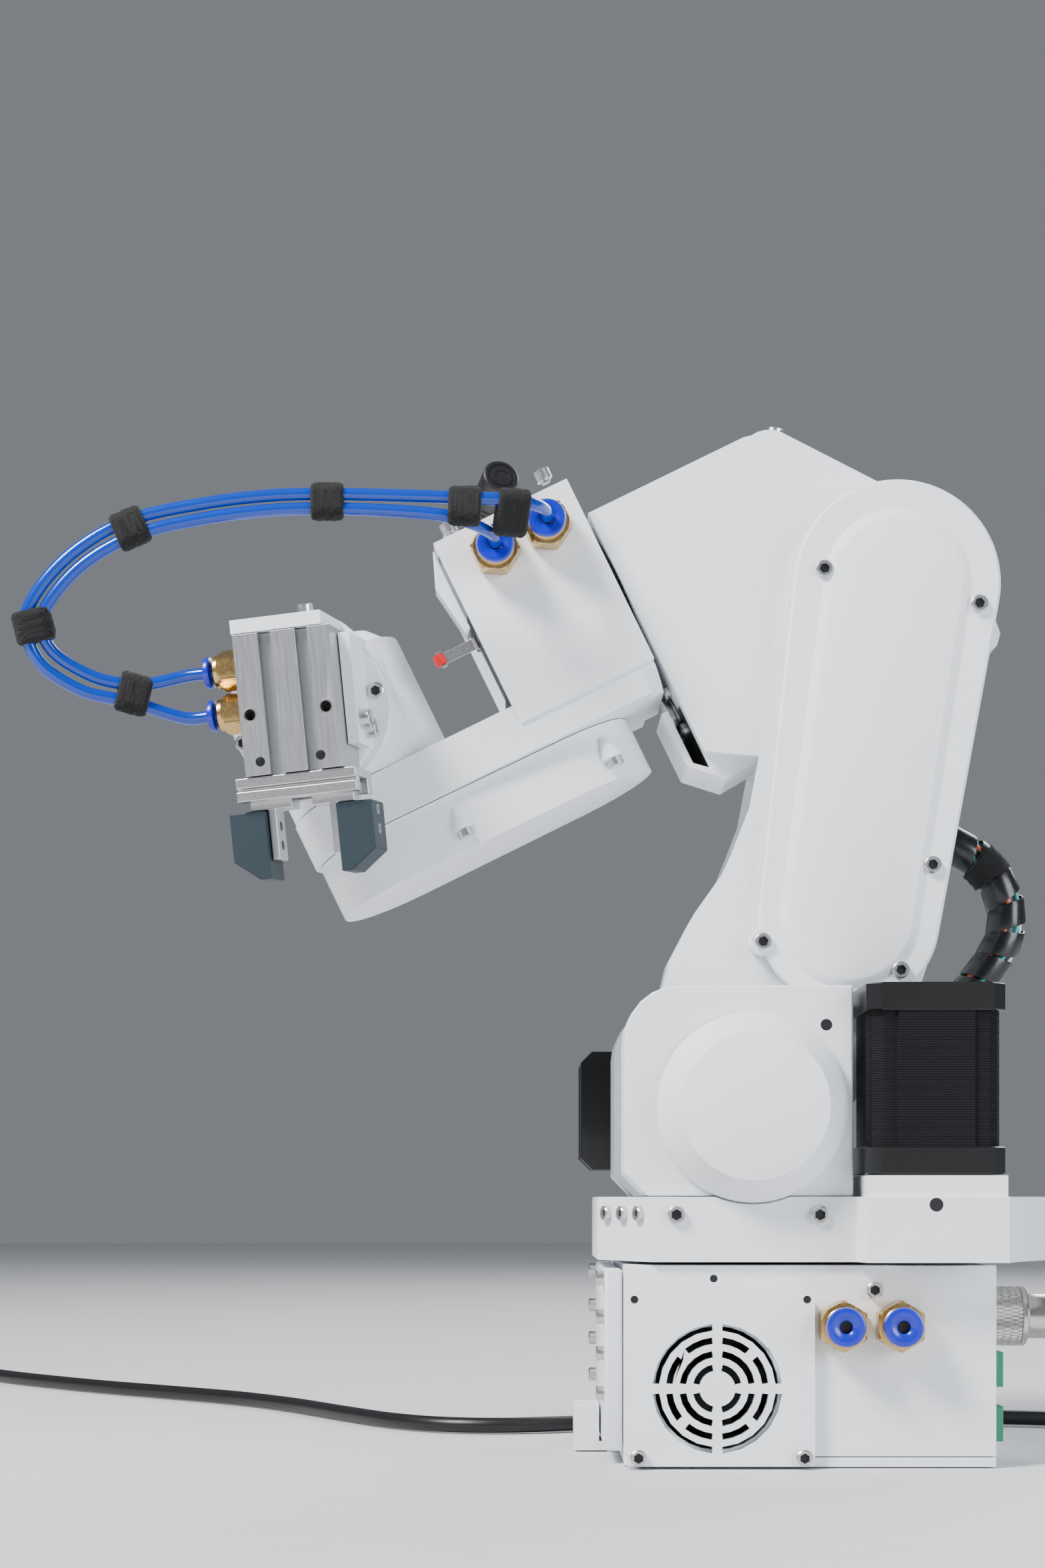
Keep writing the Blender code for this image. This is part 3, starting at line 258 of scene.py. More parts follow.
def polar(radius, angle, center=(0, 0)):
    """The point at an angle on a circle."""
    return center[0] + radius * math.cos(angle), center[1] + radius * math.sin(angle)


def circle(radius, count=24, center=(0, 0)):
    return [polar(radius, math.tau * i / count, center) for i in range(count)]


def hexagon(flats, limit=99.0, count=48):
    """A hexagon whose corners are turned down to a circle of radius limit."""
    points = []
    for i in range(count):
        angle = math.tau * i / count
        off = (angle + math.pi / 6) % (math.pi / 3) - math.pi / 6
        points.append(polar(min(limit, flats / 2 / math.cos(off)), angle))
    return points


def capsule(first, first_radius, second, second_radius, steps=20):
    """The outline round two circles."""
    dx, dy = second[0] - first[0], second[1] - first[1]
    heading = math.atan2(dy, dx)
    spread = math.acos((first_radius - second_radius) / math.hypot(dx, dy))
    points = []
    for center, radius, start, end in (
            (first, first_radius, heading + spread, heading + math.tau - spread),
            (second, second_radius, heading - spread, heading + spread)):
        for i in range(steps + 1):
            points.append(polar(radius, start + (end - start) * i / steps, center))
    return points


def pointing(at, direction):
    """A frame at a point with its Z along a direction."""
    matrix = Vector(direction).to_track_quat("Z", "Y").to_matrix().to_4x4()
    matrix.translation = Vector(at)
    return matrix


def skin(bm, rings, hollow=False):
    """Joins rings of equal counts, and caps both ends or joins the last ring to the first."""
    for low, high in zip(rings, rings[1:] + rings[:1] if hollow else rings[1:]):
        for i, corner in enumerate(low):
            j = (i + 1) % len(low)
            bm.faces.new((corner, low[j], high[j], high[i]))
    if not hollow:
        bm.faces.new(list(reversed(rings[0])))
        bm.faces.new(rings[-1])


def stack(bm, rows, matrix=WORLD, hollow=False):
    """A solid lofted through outlines at given heights; the outlines have equal counts."""
    rings = [[bm.verts.new(matrix @ Vector((a, b, height))) for a, b in outline]
             for height, outline in rows]
    skin(bm, rings, hollow)


def rounds(profile, count=24, center=(0, 0)):
    """Circles to stack, from (height, radius) pairs."""
    return [(height, circle(radius, count, center)) for height, radius in profile]


def turned(bm, profile, matrix=WORLD, count=32, hollow=False):
    """A solid turned about Z from (height, radius) pairs."""
    stack(bm, rounds(profile, count), matrix, hollow)


def piece(name, bm, where, body, material, angle=35):
    """Scales a mesh from millimetres, turns it into the model's frame, sets it on a body."""
    bmesh.ops.scale(bm, vec=(MM, MM, MM), verts=bm.verts)
    bmesh.ops.transform(bm, matrix=where, verts=bm.verts)
    bmesh.ops.recalc_face_normals(bm, faces=bm.faces)
    mesh = bpy.data.meshes.new(name)
    bm.to_mesh(mesh)
    bm.free()
    mesh.shade_smooth()
    mesh.set_sharp_from_angle(angle=math.radians(angle))
    mesh.materials.append(finish[material])
    obj = bpy.data.objects.new(name, mesh)
    bpy.context.scene.collection.objects.link(obj)
    if body:
        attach(obj, body)
    return obj


def rounded(obj, width, segments):
    """Bevels the edges of a piece."""
    rounding = obj.modifiers.new("rounding", "BEVEL")
    rounding.width = width * MM
    rounding.segments = segments
    rounding.limit_method = "ANGLE"
    rounding.angle_limit = math.radians(40)
    rounding.harden_normals = True


def softened(node, body, where, material, width, segments=3):
    """The CAD piece again with rounded edges, in its own frame."""
    bm = bmesh.new()
    bm.from_mesh(frame["nodes"][node].data)
    bmesh.ops.remove_doubles(bm, verts=bm.verts, dist=0.00002)
    bmesh.ops.dissolve_limit(bm, angle_limit=math.radians(1), verts=bm.verts, edges=bm.edges)
    bmesh.ops.transform(bm, matrix=where.inverted(), verts=bm.verts)
    bmesh.ops.scale(bm, vec=(1 / MM, 1 / MM, 1 / MM), verts=bm.verts)
    obj = piece(node + "_finished", bm, where, body, material)
    rounded(obj, width, segments)
    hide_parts(node)


# ---------------------------------------------------------------- hoses, sleeve and cable

HOSE_DIAMETER = 4.0
HOSE_PLAY = 0.08
HOSE_ROUTES = {
    "hose_1": ((-86.3, -43.6, 297), (-86.3, -46.5, 297), (-87.6, -53, 297),
               (-91.3, -58.5, 297), (-97, -62, 297.1), (-104, -63.2, 297.2),
               (-120, -63, 297.8), (-140, -62.5, 298.5), (-156, -62, 298.9),
               (-173, -62, 298.3), (-193, -62, 295.8), (-215, -62, 290.8),
               (-231.6, -62, 281.4), (-242.9, -61.5, 269.6), (-247.2, -60.5, 259.3),
               (-242.9, -58.5, 247.6), (-231.2, -55.5, 240), (-221, -53, 237.8),
               (-213, -51, 236.3), (-205, -49.3, 233.9), (-198.1, -48.7, 232.4),
               (-191.9, -49.8, 232.8)),
    "hose_2": ((-102.6, -43.6, 289), (-102.6, -46.5, 289), (-103.9, -53, 289.3),
               (-107.6, -58.5, 290.1), (-113.3, -62, 291.2), (-120, -63.2, 292.3),
               (-128, -63, 293.1), (-140, -62.5, 293.9), (-156, -62, 294.4),
               (-173, -62, 293.8), (-193, -62, 291.2), (-213, -62, 286.4),
               (-228.5, -61.5, 278), (-238.6, -61, 267.6), (-242.4, -60, 259.3),
               (-238.8, -58, 251), (-228.8, -55, 244.9), (-220, -52.8, 242.7),
               (-212, -51, 242.6), (-205, -50, 244), (-199.1, -49.6, 245.5),
               (-193.1, -50.7, 246)),
}
SLEEVE_STEP = 0.5
CORE_RADIUS, WIRE_RADIUS, WIRE_REACH = 4.6, 0.95, 4.5
WRAP_PITCH, WRAP_WIDTH = 9.4, 8.4
# Name, start and end as shares of the sleeve's length, radius
SLEEVE_BANDS = (("conduit_band_upper", 0.8, 0.86, 7.0), ("conduit_band_lower", 0.03, 0.36, 6.9))
# The spiral wrap's section as (share of its width, distance from the sleeve's middle)
WRAP_SECTION = ((-0.5, 5.75), (-0.5, 6.25), (-0.38, 6.45), (0.38, 6.5), (0.5, 6.3), (0.5, 5.85))
SLEEVE_ROUTE = ((54, 0, 83.6), (54, 0, 90), (50.8, 0, 100), (47.2, 0, 111), (45.5, 0, 122),
                (46, 0, 132), (49, 0, 142), (54, 0, 150.5), (60, 0, 158.5),
                (65, 0, 167.5), (66.3, 0, 177), (63.5, 0, 186.5), (57, 0, 194.2),
                (48.5, 0, 199.5), (39.4, 0, 202.5))
WIRE_COLORS = ("wire_red", "wire_teal", "wire_white", "wire_blue", "wire_red", "wire_white",
               "wire_teal")
CABLE_DIAMETER = 5.5
CABLE_ROUTE = ((98.3, -20, 44.5), (110, -20, 43.5), (123, -18, 37), (132, -12, 25),
               (138, -1, 11), (140, 14, 3.6), (138, 32, 2.75), (128, 54, 2.75),
               (106, 75, 2.75), (74, 87, 2.75), (34, 91, 2.75), (-8, 88, 2.75),
               (-46, 77, 2.75), (-76, 60, 2.75), (-100, 52, 2.75), (-122, 56, 2.75),
               (-141, 73, 2.75), (-160, 103, 2.75), (-182, 141, 2.75), (-207, 175, 2.75),
               (-236, 204, 2.75), (-270, 236, 2.75), (-301, 270, 2.75), (-322, 296, 2.75),
               (-336, 317, 2.75), (-343.4, 334, 2.75))
COIL_CENTER = (-387.0, 352.0)
COIL_OUTER = 41.2
COIL_INNER = 21.8
COIL_TURNS = 3.5
COIL_TAIL = ((-409, 340, 8.3), (-409, 325, 8.8), (-409, 308, 9.7))


def smooth_route(route, step):
    """Evenly spaced points on a smooth curve through the route's own points."""
    ends = [Vector(route[0]) * 2 - Vector(route[1]), Vector(route[-1]) * 2 - Vector(route[-2])]
    knots = [ends[0]] + [Vector(p) for p in route] + [ends[1]]
    fine = []
    for a, b, c, d in zip(knots, knots[1:], knots[2:], knots[3:]):
        for i in range(40):
            t = i / 40
            fine.append(0.5 * (2 * b + (c - a) * t + (2 * a - 5 * b + 4 * c - d) * t * t
                               + (3 * b - a - 3 * c + d) * t ** 3))
    fine.append(knots[-2])
    total = sum((q - p).length for p, q in zip(fine, fine[1:]))
    count = max(2, round(total / step))
    points, walked, wanted = [fine[0]], 0.0, total / count
    for p, q in zip(fine, fine[1:]):
        walked += (q - p).length
        if walked >= wanted * len(points) and len(points) < count:
            points.append(q)
    points.append(fine[-1])
    return points


def cord_curve(name, points, diameter, body, material, resolution=6):
    """A hose or a cable as a bevelled curve on a body."""
    curve = bpy.data.curves.new(name, "CURVE")
    curve.dimensions = "3D"
    curve.bevel_depth = diameter / 2 * MM
    curve.bevel_resolution = resolution
    curve.use_fill_caps = True
    spline = curve.splines.new("POLY")
    spline.points.add(len(points) - 1)
    for point, place in zip(spline.points, points):
        point.co = (*(place * MM), 1.0)
    spline.use_smooth = True
    curve.materials.append(finish[material])
    obj = bpy.data.objects.new(name, curve)
    bpy.context.scene.collection.objects.link(obj)
    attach(obj, body)
    return obj


def coil_point(turn):
    """A point of the flat spiral coil; its last half turn climbs onto the others."""
    reach = COIL_OUTER - (COIL_OUTER - COIL_INNER) * turn / COIL_TURNS
    climb = min(1, max(0, (turn - COIL_TURNS + 0.45) / 0.4))
    return (*polar(reach, math.tau * turn, COIL_CENTER), CABLE_DIAMETER * (0.5 + climb))


def cable_points():
    """The cable's run, its coil and the tail that lies across the coil to the far plug."""
    per_turn = 20
    coil = [coil_point(i / per_turn) for i in range(round(COIL_TURNS * per_turn) + 1)]
    return smooth_route(list(CABLE_ROUTE) + coil + list(COIL_TAIL), 3.5)


def side_by_side(points, across):
    """For each point of a line: its place, its direction and two directions across it."""
    frames = []
    side = Vector(across)
    for i, point in enumerate(points):
        along = (points[min(i + 1, len(points) - 1)] - points[max(i - 1, 0)]).normalized()
        side = (side - along * side.dot(along)).normalized()
        frames.append((point, along, side, along.cross(side)))
    return frames


def swept(bm, frames, outlines):
    """A tube along frames, with an outline for each of them."""
    skin(bm, [[bm.verts.new(point + a * x + b * y) for x, y in outline]
              for (point, _, a, b), outline in zip(frames, outlines)])


TIE_LENGTH = 10.0
TIE_THICKNESS = 1.5
TIE_EDGE_DROP = 0.9
TIE_FUZZ = 0.6
# Where the hook-and-loop ties sit along the hoses, as shares of their length
TIE_PLACES = (0.09, 0.15, 0.315, 0.555, 0.735, 0.905)


def hook_and_loop_tie(name, lines, share):
    """A fuzzy band round both hoses."""
    first, second = [line[round(share * (len(line) - 1))] for line in lines]
    after = lines[0][round(share * (len(lines[0]) - 1)) + 2]
    along = (after - first).normalized()
    second = second - along * (second - first).dot(along)
    apart = second - first
    side = apart.normalized()
    up = along.cross(side)
    middle = (first + second) / 2
    half = apart.length / 2
    count, rows = 90, 30
    rings = []
    bm = bmesh.new()
    for row in range(rows + 1):
        drop = TIE_EDGE_DROP * abs(row / rows * 2 - 1) ** 8
        ring = []
        for a, b in circle(HOSE_DIAMETER / 2 + TIE_THICKNESS - drop, count):
            a += half if a > 0 else -half
            place = middle + side * a + up * b + along * ((row / rows - 0.5) * TIE_LENGTH)
            fuzz = (0.4 * noise.noise(place * 0.9) + 0.4 * noise.noise(place * 2.9)
                    + 0.5 * noise.noise(place * 7.3))
            place += (side * a + up * b).normalized() * fuzz * TIE_FUZZ
            ring.append(bm.verts.new(place))
        rings.append(ring)
    skin(bm, rings)
    return piece(name, bm, WORLD, "wrist", "fuzz", 70)


def make_hoses():
    lines = [smooth_route(route, 2.5) for route in HOSE_ROUTES.values()]
    ties = [hook_and_loop_tie(f"hose_tie_{index + 1}", lines, share)
            for index, share in enumerate(TIE_PLACES)]
    for index, line in enumerate(lines):
        node = f"hose_{index + 1}"
        hose = cord_curve(node + "_finished", line, HOSE_DIAMETER, "wrist", "hose")
        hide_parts(node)


def strain_relief(name, line):
    """A ribbed black boot that tapers onto the cable."""
    frames = side_by_side(line, (0, 0, 1))
    last = len(frames) - 1
    radii = [3.1 + 2.4 * (1 - i / last) - (0.45 if i % 4 == 2 else 0) for i in range(last + 1)]
    bm = bmesh.new()
    swept(bm, frames, [circle(radius, 24) for radius in radii])
    return piece(name, bm, WORLD, "base", "cable", 60)


def round_plug(name, matrix, node):
    """A metal plug: knurled coupling ring, barrel with two steps, and a clamp nut."""
    knurls, rows = 48, 8
    count = 2 * knurls
    ridges = []
    for row in range(rows + 1):
        shift = row / rows * 2.0
        ridge = [polar(9.2 + 0.5 * (1 - abs(((i / 2 + shift) % 1) * 2 - 1)),
                       math.tau * i / count) for i in range(count)]
        ridges.append((3.3 + row * 1.2, ridge))
    bm = bmesh.new()
    rim = rounds(((0, 8.9), (0.8, 9.7), (3, 9.7), (3.2, 9.2)), count)
    barrel = rounds(((13.2, 9.2), (13.4, 9.6), (14.7, 9.6), (15.2, 9.0), (15.3, 7.0),
                     (17, 7.25), (27, 7.25), (27.2, 6.7), (28.6, 6.7), (28.8, 7.25),
                     (39.5, 7.25), (41.5, 6.6), (44.4, 5.6)), count)
    stack(bm, rim + ridges + barrel, matrix)
    plug = piece(name, bm, WORLD, "base", "nickel", 30)
    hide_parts(node)
    return plug


def make_cable():
    line = cable_points()
    cable = cord_curve("cable_finished", line, CABLE_DIAMETER, "base", "cable",
                       5)
    near = round_plug("cable_plug_finished", pointing((53.3, *SOCKET_AXIS), PLUS_X),
                      "cable_plug")
    far = round_plug("cable_end_finished", pointing((-409, 263.6, 9.7), PLUS_Y),
                     "cable_end")
    boots = [strain_relief("cable_boot_near", line[:8]),
             strain_relief("cable_boot_far", list(reversed(line[-7:])))]
    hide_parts("cable", "cable_coil")


def make_conduit():
    """The wires from the deck into the upper arm, in a spiral wrap with two fuzzy bands."""
    line = smooth_route(SLEEVE_ROUTE, SLEEVE_STEP)
    frames = side_by_side(line, (0, 1, 0))

    def bending(name, bm, material, angle=40):
        obj = piece(name, bm, WORLD, None, material, angle)
        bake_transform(obj)
        return obj

    bm = bmesh.new()
    core = frames[::6] + [frames[-1]]
    swept(bm, core, [circle(CORE_RADIUS, 20)] * len(core))
    bending("conduit_core", bm, "cable")
    for index, color in enumerate(WIRE_COLORS):
        bm = bmesh.new()
        strand = []
        for i in range(0, len(frames), 5):
            point, along, a, b = frames[i]
            angle = math.tau * (index / len(WIRE_COLORS) + i / len(frames) * 0.7)
            out = a * math.cos(angle) + b * math.sin(angle)
            strand.append((point + out * WIRE_REACH, along, a, b))
        swept(bm, strand, [circle(WIRE_RADIUS, 8)] * len(strand))
        bending(f"conduit_wire_{index + 1}", bm, color)

    bm = bmesh.new()
    per_turn = 28
    rings = []
    steps = round((len(line) - 1) * SLEEVE_STEP / WRAP_PITCH * per_turn)
    for step in range(steps + 1):
        place = step / steps * (len(frames) - 1)
        low = min(int(place), len(frames) - 2)
        share = place - low
        point = frames[low][0].lerp(frames[low + 1][0], share)
        along, a, b = frames[low][1:]
        angle = math.tau * step / per_turn
        out = a * math.cos(angle) + b * math.sin(angle)
        dip = abs(0.12 * math.sin(angle * 3.7))
        rings.append([bm.verts.new(point + along * (across * WRAP_WIDTH)
                                   + out * (height - dip))
                      for across, height in WRAP_SECTION])
    skin(bm, rings)
    wrap = bending("arm_conduit_finished", bm, "wrap")

    for name, start, end, reach in SLEEVE_BANDS:
        bm = bmesh.new()
        band = frames[round(start * len(frames)):round(end * len(frames)):2]
        fuzzy = []
        for point, *_ in band:
            outline = []
            for x, y in circle(reach, 36):
                place = point + Vector((x, 0, y))
                swell = 1 + 0.05 * noise.noise(place * 1.1) + 0.03 * noise.noise(place * 3)
                outline.append((x * swell, y * swell))
            fuzzy.append(outline)
        swept(bm, band, fuzzy)
        bending(name, bm, "fuzz", 70)

    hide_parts("arm_conduit")
    path = smooth_route(SLEEVE_ROUTE, 3.0)


# ---------------------------------------------------------------- screws and air fittings

M3_HEAD = 2.75


def screws(name, seats, direction, where, body, radius=M3_HEAD, height=2.8):
    """Socket-head screws on their seats, with the direction that their heads point."""
    bm, socket_shade = bmesh.new(), bmesh.new()
    flats = radius * 1.04
    lip, socket, floor = [hexagon(flats * share, count=24) for share in (1.05, 1, 0.97)]
    head = rounds(((-1.0, radius * 0.55), (-0.02, radius * 0.55), (0, radius * 0.98),
                   (height - 0.35, radius), (height, radius - 0.4)))
    for seat in seats:
        place = pointing(seat, direction)
        stack(bm, head + [(height, lip), (height - 0.1, socket), (height * 0.3, socket)], place)
        # A dark hexagon at each socket's floor: painted shade in the recess.
        stack(socket_shade, [(height * 0.25, floor), (height * 0.45, floor)], place)
    piece(name + "_sockets", socket_shade, where, body, "dark", 40)
    piece(name, bm, where, body, "steel", 40)


def holes(name, seats, direction, where, body, radius):
    """Small screw holes, as dark discs set just proud of the face that they are in; the discs'
    dark is painted shade for the holes' insides.
    """
    bm = bmesh.new()
    for seat in seats:
        turned(bm, ((-0.5, radius), (0.04, radius)), pointing(seat, direction), 24)
    piece(name, bm, where, body, "dark", 30)


def air_fitting(node, seat, direction, where, body, flats=14.0, hose=True):
    """A brass push-in fitting with its blue release collet."""
    place = pointing(seat, direction)
    far = flats * 0.37
    corner = flats / 2 / math.cos(math.pi / 6)
    bm = bmesh.new()
    collar = ((8.0, flats / 2 - 0.4), (8.0, far + 0.9), (9.3, far + 0.9), (9.8, far + 0.3),
              (9.8, far - 1.2), (8.6, far - 1.2))
    nut = [(0, hexagon(flats, corner - 0.6)), (0.7, hexagon(flats)), (7.0, hexagon(flats)),
           (7.9, hexagon(flats, flats / 2 + 0.2))]
    stack(bm, rounds(((-7.9, 3.9), (0, 3.9)), 48) + nut + rounds(collar, 48), place)
    body_piece = piece(node + "_finished", bm, where, body, "brass", 28)
    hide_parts(node)

    bm = bmesh.new()
    inner = HOSE_DIAMETER / 2 + (HOSE_PLAY if hose else 0.0)
    turned(bm, ((8.8, far - 1.3), (10.6, far - 1.3), (10.9, far + 0.75), (11.7, far + 0.95),
                (12.7, far + 0.6), (13.0, far - 0.2), (12.4, inner + 0.5), (11.9, inner),
                (8.8, inner)), place, 40, hollow=True)
    piece(node + "_collet", bm, where, body, "collet", 40)
    # Without a hose, a dark disc in the bore: painted shade of the open bore.
    if not hose:
        bm = bmesh.new()
        turned(bm, ((8.9, inner + 0.02), (9.4, inner + 0.02)), place, 32)
        piece(node + "_bore", bm, where, body, "dark")


BELT_THICKNESS, BELT_CLEARANCE, BELT_TOOTH = 1.4, 0.1, 0.35
WHEEL_TOOTH_DEPTH = 0.75


def belt(name, plane, first, first_radius, second, second_radius, low, high, where, body):
    """A closed belt round two pulleys, with teeth on its inner side."""
    bm = bmesh.new()
    outer, inner = [capsule(first, first_radius + out, second, second_radius + out, 28)
                    for out in (BELT_THICKNESS, BELT_CLEARANCE)]
    inner[1::2] = [(a + (b - a) * BELT_TOOTH, c + (d - c) * BELT_TOOTH)
                   for (a, c), (b, d) in zip(inner[1::2], outer[1::2])]
    stack(bm, [(low, inner), (low, outer), (high, outer), (high, inner)], plane, hollow=True)
    piece(name, bm, where, body, "belt", 30)


PLUS_X, PLUS_Y, PLUS_Z = (1, 0, 0), (0, 1, 0), (0, 0, 1)
MINUS_X, MINUS_Y, MINUS_Z = (-1, 0, 0), (0, -1, 0), (0, 0, -1)
# The planes that flat outlines lie in: each maps (across, up, height) to a frame's axes
LEVEL = WORLD
UPRIGHT = Matrix(((1, 0, 0, 0), (0, 0, 1, 0), (0, 1, 0, 0), (0, 0, 0, 1)))
FACING = Matrix(((0, 0, 1, 0), (1, 0, 0, 0), (0, 1, 0, 0), (0, 0, 0, 1)))


def toothed(node, plane, center, radius, teeth, low, high, where, body, material="aluminium",
            hub=None, extra=False):
    """A belt wheel with its teeth, in place of a node unless it's an extra one."""
    bm = bmesh.new()
    count = teeth * 4
    outline = []
    for i in range(count):
        reach = radius if i % 4 in (0, 1) else radius - WHEEL_TOOTH_DEPTH
        outline.append(polar(reach, math.tau * i / count, center))
    stack(bm, [(low, outline), (high, outline)], plane)
    if hub:
        start, end, thickness = hub
        stack(bm, rounds(((start, thickness), (end, thickness)), 32, center), plane)
    name = node if extra else node + "_finished"
    wheel = piece(name, bm, where, body, material, 30)
    if not extra:
        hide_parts(node)


# ---------------------------------------------------------------- base and turntable

NEMA_17, NEMA_14 = 42.3, 35.2
STATOR_SHEET, STATOR_INSET, LAP = 0.5, 1.4, 0.05
MOTOR_SCREW_INSET = 5.6
# The belt wheels' radii at the tips of their teeth, and the teeth of the small ones
WAIST_WHEEL, SHOULDER_WHEEL, ELBOW_WHEEL, WRIST_WHEEL, ROLL_WHEEL = 27.0, 17.0, 24.0, 18.0, 20.6
PINION, WRIST_PINION = 6.0, 7.5
PINION_TEETH = 18
WAIST_MOTOR = (31.5, -54.2)
SHOULDER_MOTOR = (-52.0, 114.0)
SHOULDER = (-23.4, 110.5)
FAN = (-34.4, 24.3)
BASE_FRONT, FAN_COVER_FRONT, DECK_FRONT, PANEL_FACE = -63.0, -66.6, -65.0, -68.3
SOCKET_AXIS = (-20, 44.5)
FAN_BLADES = 7
# A blade's section as (angle ahead of its middle, depth), once round
BLADE_SECTION = ((-0.33, 1.2), (-0.1, 2.6), (0.16, 4.8), (0.3, 6.6), (0.3, 7.2), (0.12, 5.6),
                 (-0.14, 3.4), (-0.35, 1.8))


def make_base():
    for node, width in (("base_shell", 0.8), ("base_floor", 0.7), ("front_panel", 0.9)):
        softened(node, "base", WORLD, "white", width)
    softened("fan_cover", "base", WORLD, "white_flat", 0.05, segments=1)
    softened("fan_frame", "base", WORLD, "dark", 0.3)
    softened("control_board", "base", WORLD, "board", 0.2, 1)
    softened("waist_bearing", "base", WORLD, "steel", 0.5)
    screws("base_screws", [(-58.6, FAN_COVER_FRONT, 3.2), (-7.9, FAN_COVER_FRONT, 3.2),
                           (14.0, BASE_FRONT, 54.4)], MINUS_Y, WORLD, "base", 2.6, 2.2)
    holes("base_holes", [(-35.3, BASE_FRONT, 57.9), (-59.8, FAN_COVER_FRONT, 51.6),
                         (-7.0, FAN_COVER_FRONT, 51.6)], MINUS_Y, WORLD, "base", 1.2)
    spots = [(y, z) for z in (57.6, 45.4, 33.9, 21.3) for y in (-45, 45)] + [(-38, 57.6)]
    screws("panel_screws", [(PANEL_FACE, y, z) for y, z in spots], MINUS_X, WORLD, "base", 2.3,
           2.6)
    for index, x in enumerate((3.9, 21.4)):
        air_fitting(f"base_fitting_{index + 1}", (x, -63.3, 43.5), MINUS_Y, WORLD, "base",
                    hose=False)
    toothed("waist_pulley", LEVEL, (0, 0), WAIST_WHEEL, 85, 69.2, 75.2, WORLD, "base",
            hub=(62.3, 70, 12.0))
    make_fan()
    make_terminals()
    make_socket()


def make_fan():
    """Curved blades on a hub with a rounded rim, in place of the plain rotor."""
    bm = bmesh.new()
    axle = pointing((FAN[0], -59.0, FAN[1]), PLUS_Y)
    turned(bm, ((0, 7.5), (0.6, 8.8), (7, 8.8)), axle, 40)
    for blade in range(FAN_BLADES):
        start = math.tau * blade / FAN_BLADES
        rings = []
        for i in range(7):
            out = i / 6
            angle = start + 0.5 * out ** 1.5
            reach, narrowing = 8.2 + 9.6 * out, 1.05 - 0.25 * out
            rings.append([bm.verts.new(axle @ Vector((*polar(reach, angle + lead * narrowing),
                                                      depth)))
                          for lead, depth in BLADE_SECTION])
        skin(bm, rings)
    rotor = piece("fan_rotor_finished", bm, WORLD, "fan", "dark", 45)
    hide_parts("fan_rotor")


def box(bm, low, high):
    """A box between two opposite corners."""
    low, high = Vector(low), Vector(high)
    bmesh.ops.create_cube(bm, size=1.0, matrix=Matrix.Translation((low + high) / 2)
                          @ Matrix.Diagonal((*(high - low), 1.0)))


def make_terminals():
    """Two pluggable green terminal blocks with their wire ways and clamp screws; the wire ways
    and the screws' slots are dark boxes on the face, painted shade of the openings.
    """
    softened("terminal_block", "base", WORLD, "green", 0.35)
    # The dark boxes in ways are painted shade: one in each wire opening, and a thin one in each
    # clamp screw's slot.
    ways = bmesh.new()
    clamps = bmesh.new()
    for z in (12.0, 29.0):
        for i in range(4):
            y = -45.6 + i * 4.4
            box(ways, (56.0, y - 1.3, z - 4.2), (56.55, y + 1.3, z - 0.8))
            turned(clamps, ((-0.6, 1.3), (0.1, 1.3), (0.2, 1.1)),
                   pointing((56.5, y, z + 2.4), PLUS_X), 16)
            box(ways, (56.6, y - 0.2, z + 1.3), (56.75, y + 0.2, z + 3.5))
    piece("terminal_opening_shade", ways, WORLD, "base", "dark")
    piece("terminal_clamps", clamps, WORLD, "base", "steel")


def make_socket():
    """The round metal socket that the cable's plug screws onto."""
    bm = bmesh.new()
    turned(bm, ((42, 6.6), (51.8, 6.6), (51.8, 9.0), (52.1, 9.2), (52.8, 9.2), (53.0, 8.9)),
           pointing((0, *SOCKET_AXIS), PLUS_X), 48)
    socket = piece("rear_socket_finished", bm, WORLD, "base", "nickel", 30)
    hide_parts("rear_socket")


def stepper(node, plane, center, side, low, high, cap, where, body):
    """A stepper motor: two smooth end caps, and between them the stack of its stator."""
    caps, core, rods = bmesh.new(), bmesh.new(), bmesh.new()
    for start, end in ((low, low + cap), (high - cap, high)):
        edge, full = chamfered(side - 0.8, 4.4, center), chamfered(side, 4, center)
        stack(caps, [(start, edge), (start + 0.4, full), (end - 0.4, full), (end, edge)], plane)
    count = round((high - low - 2 * cap) / STATOR_SHEET)
    rows = []
    for i in range(count):
        at = low + cap - LAP + i * (high - low - 2 * cap + 2 * LAP) / count
        for up, inset in ((0.0, 0.28), (0.1, 0.0), (0.38, 0.0)):
            rows.append((at + up, notched(side - STATOR_INSET - inset, center)))
    rows.append((high - cap + LAP, notched(side - STATOR_INSET - 0.3, center)))
    stack(core, rows, plane)
    motor = piece(node + "_finished", caps, where, body, "black", 30)
    piece(node + "_stator", core, where, body, "stator", 30)
    for a in (-1, 1):
        for b in (-1, 1):
            reach = side / 2 - MOTOR_SCREW_INSET
            spot = (center[0] + a * reach, center[1] + b * reach)
            stack(rods, rounds(((high - 0.5, 2.0), (high + 0.05, 2.0), (high + 0.05, 1.2),
                                (high - 0.4, 1.2)), 20, spot), plane)
    piece(node + "_screws", rods, where, body, "steel", 30)
    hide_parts(node)


def chamfered(side, corner, center):
    """A square with its corners cut off."""
    half, flat = side / 2, side / 2 - corner
    return [(center[0] + a, center[1] + b) for a, b in (
        (half, -flat), (half, flat), (flat, half), (-flat, half), (-half, flat),
        (-half, -flat), (-flat, -half), (flat, -half))]


def notched(side, center):
    """A square with stepped corners, as a stator's sheets have."""
    half, flat, deep = side / 2, side / 2 - 9.0, side / 2 - 1.2
    points = []
    for a, b in ((1, 1), (-1, 1), (-1, -1), (1, -1)):
        corner = [(half, flat), (deep, flat + 1), (deep, flat + 4.5), (flat + 4.5, deep),
                  (flat + 1, deep), (flat, half)]
        if a * b < 0:
            corner.reverse()
        points += [(center[0] + a * x, center[1] + b * y) for x, y in corner]
    return points


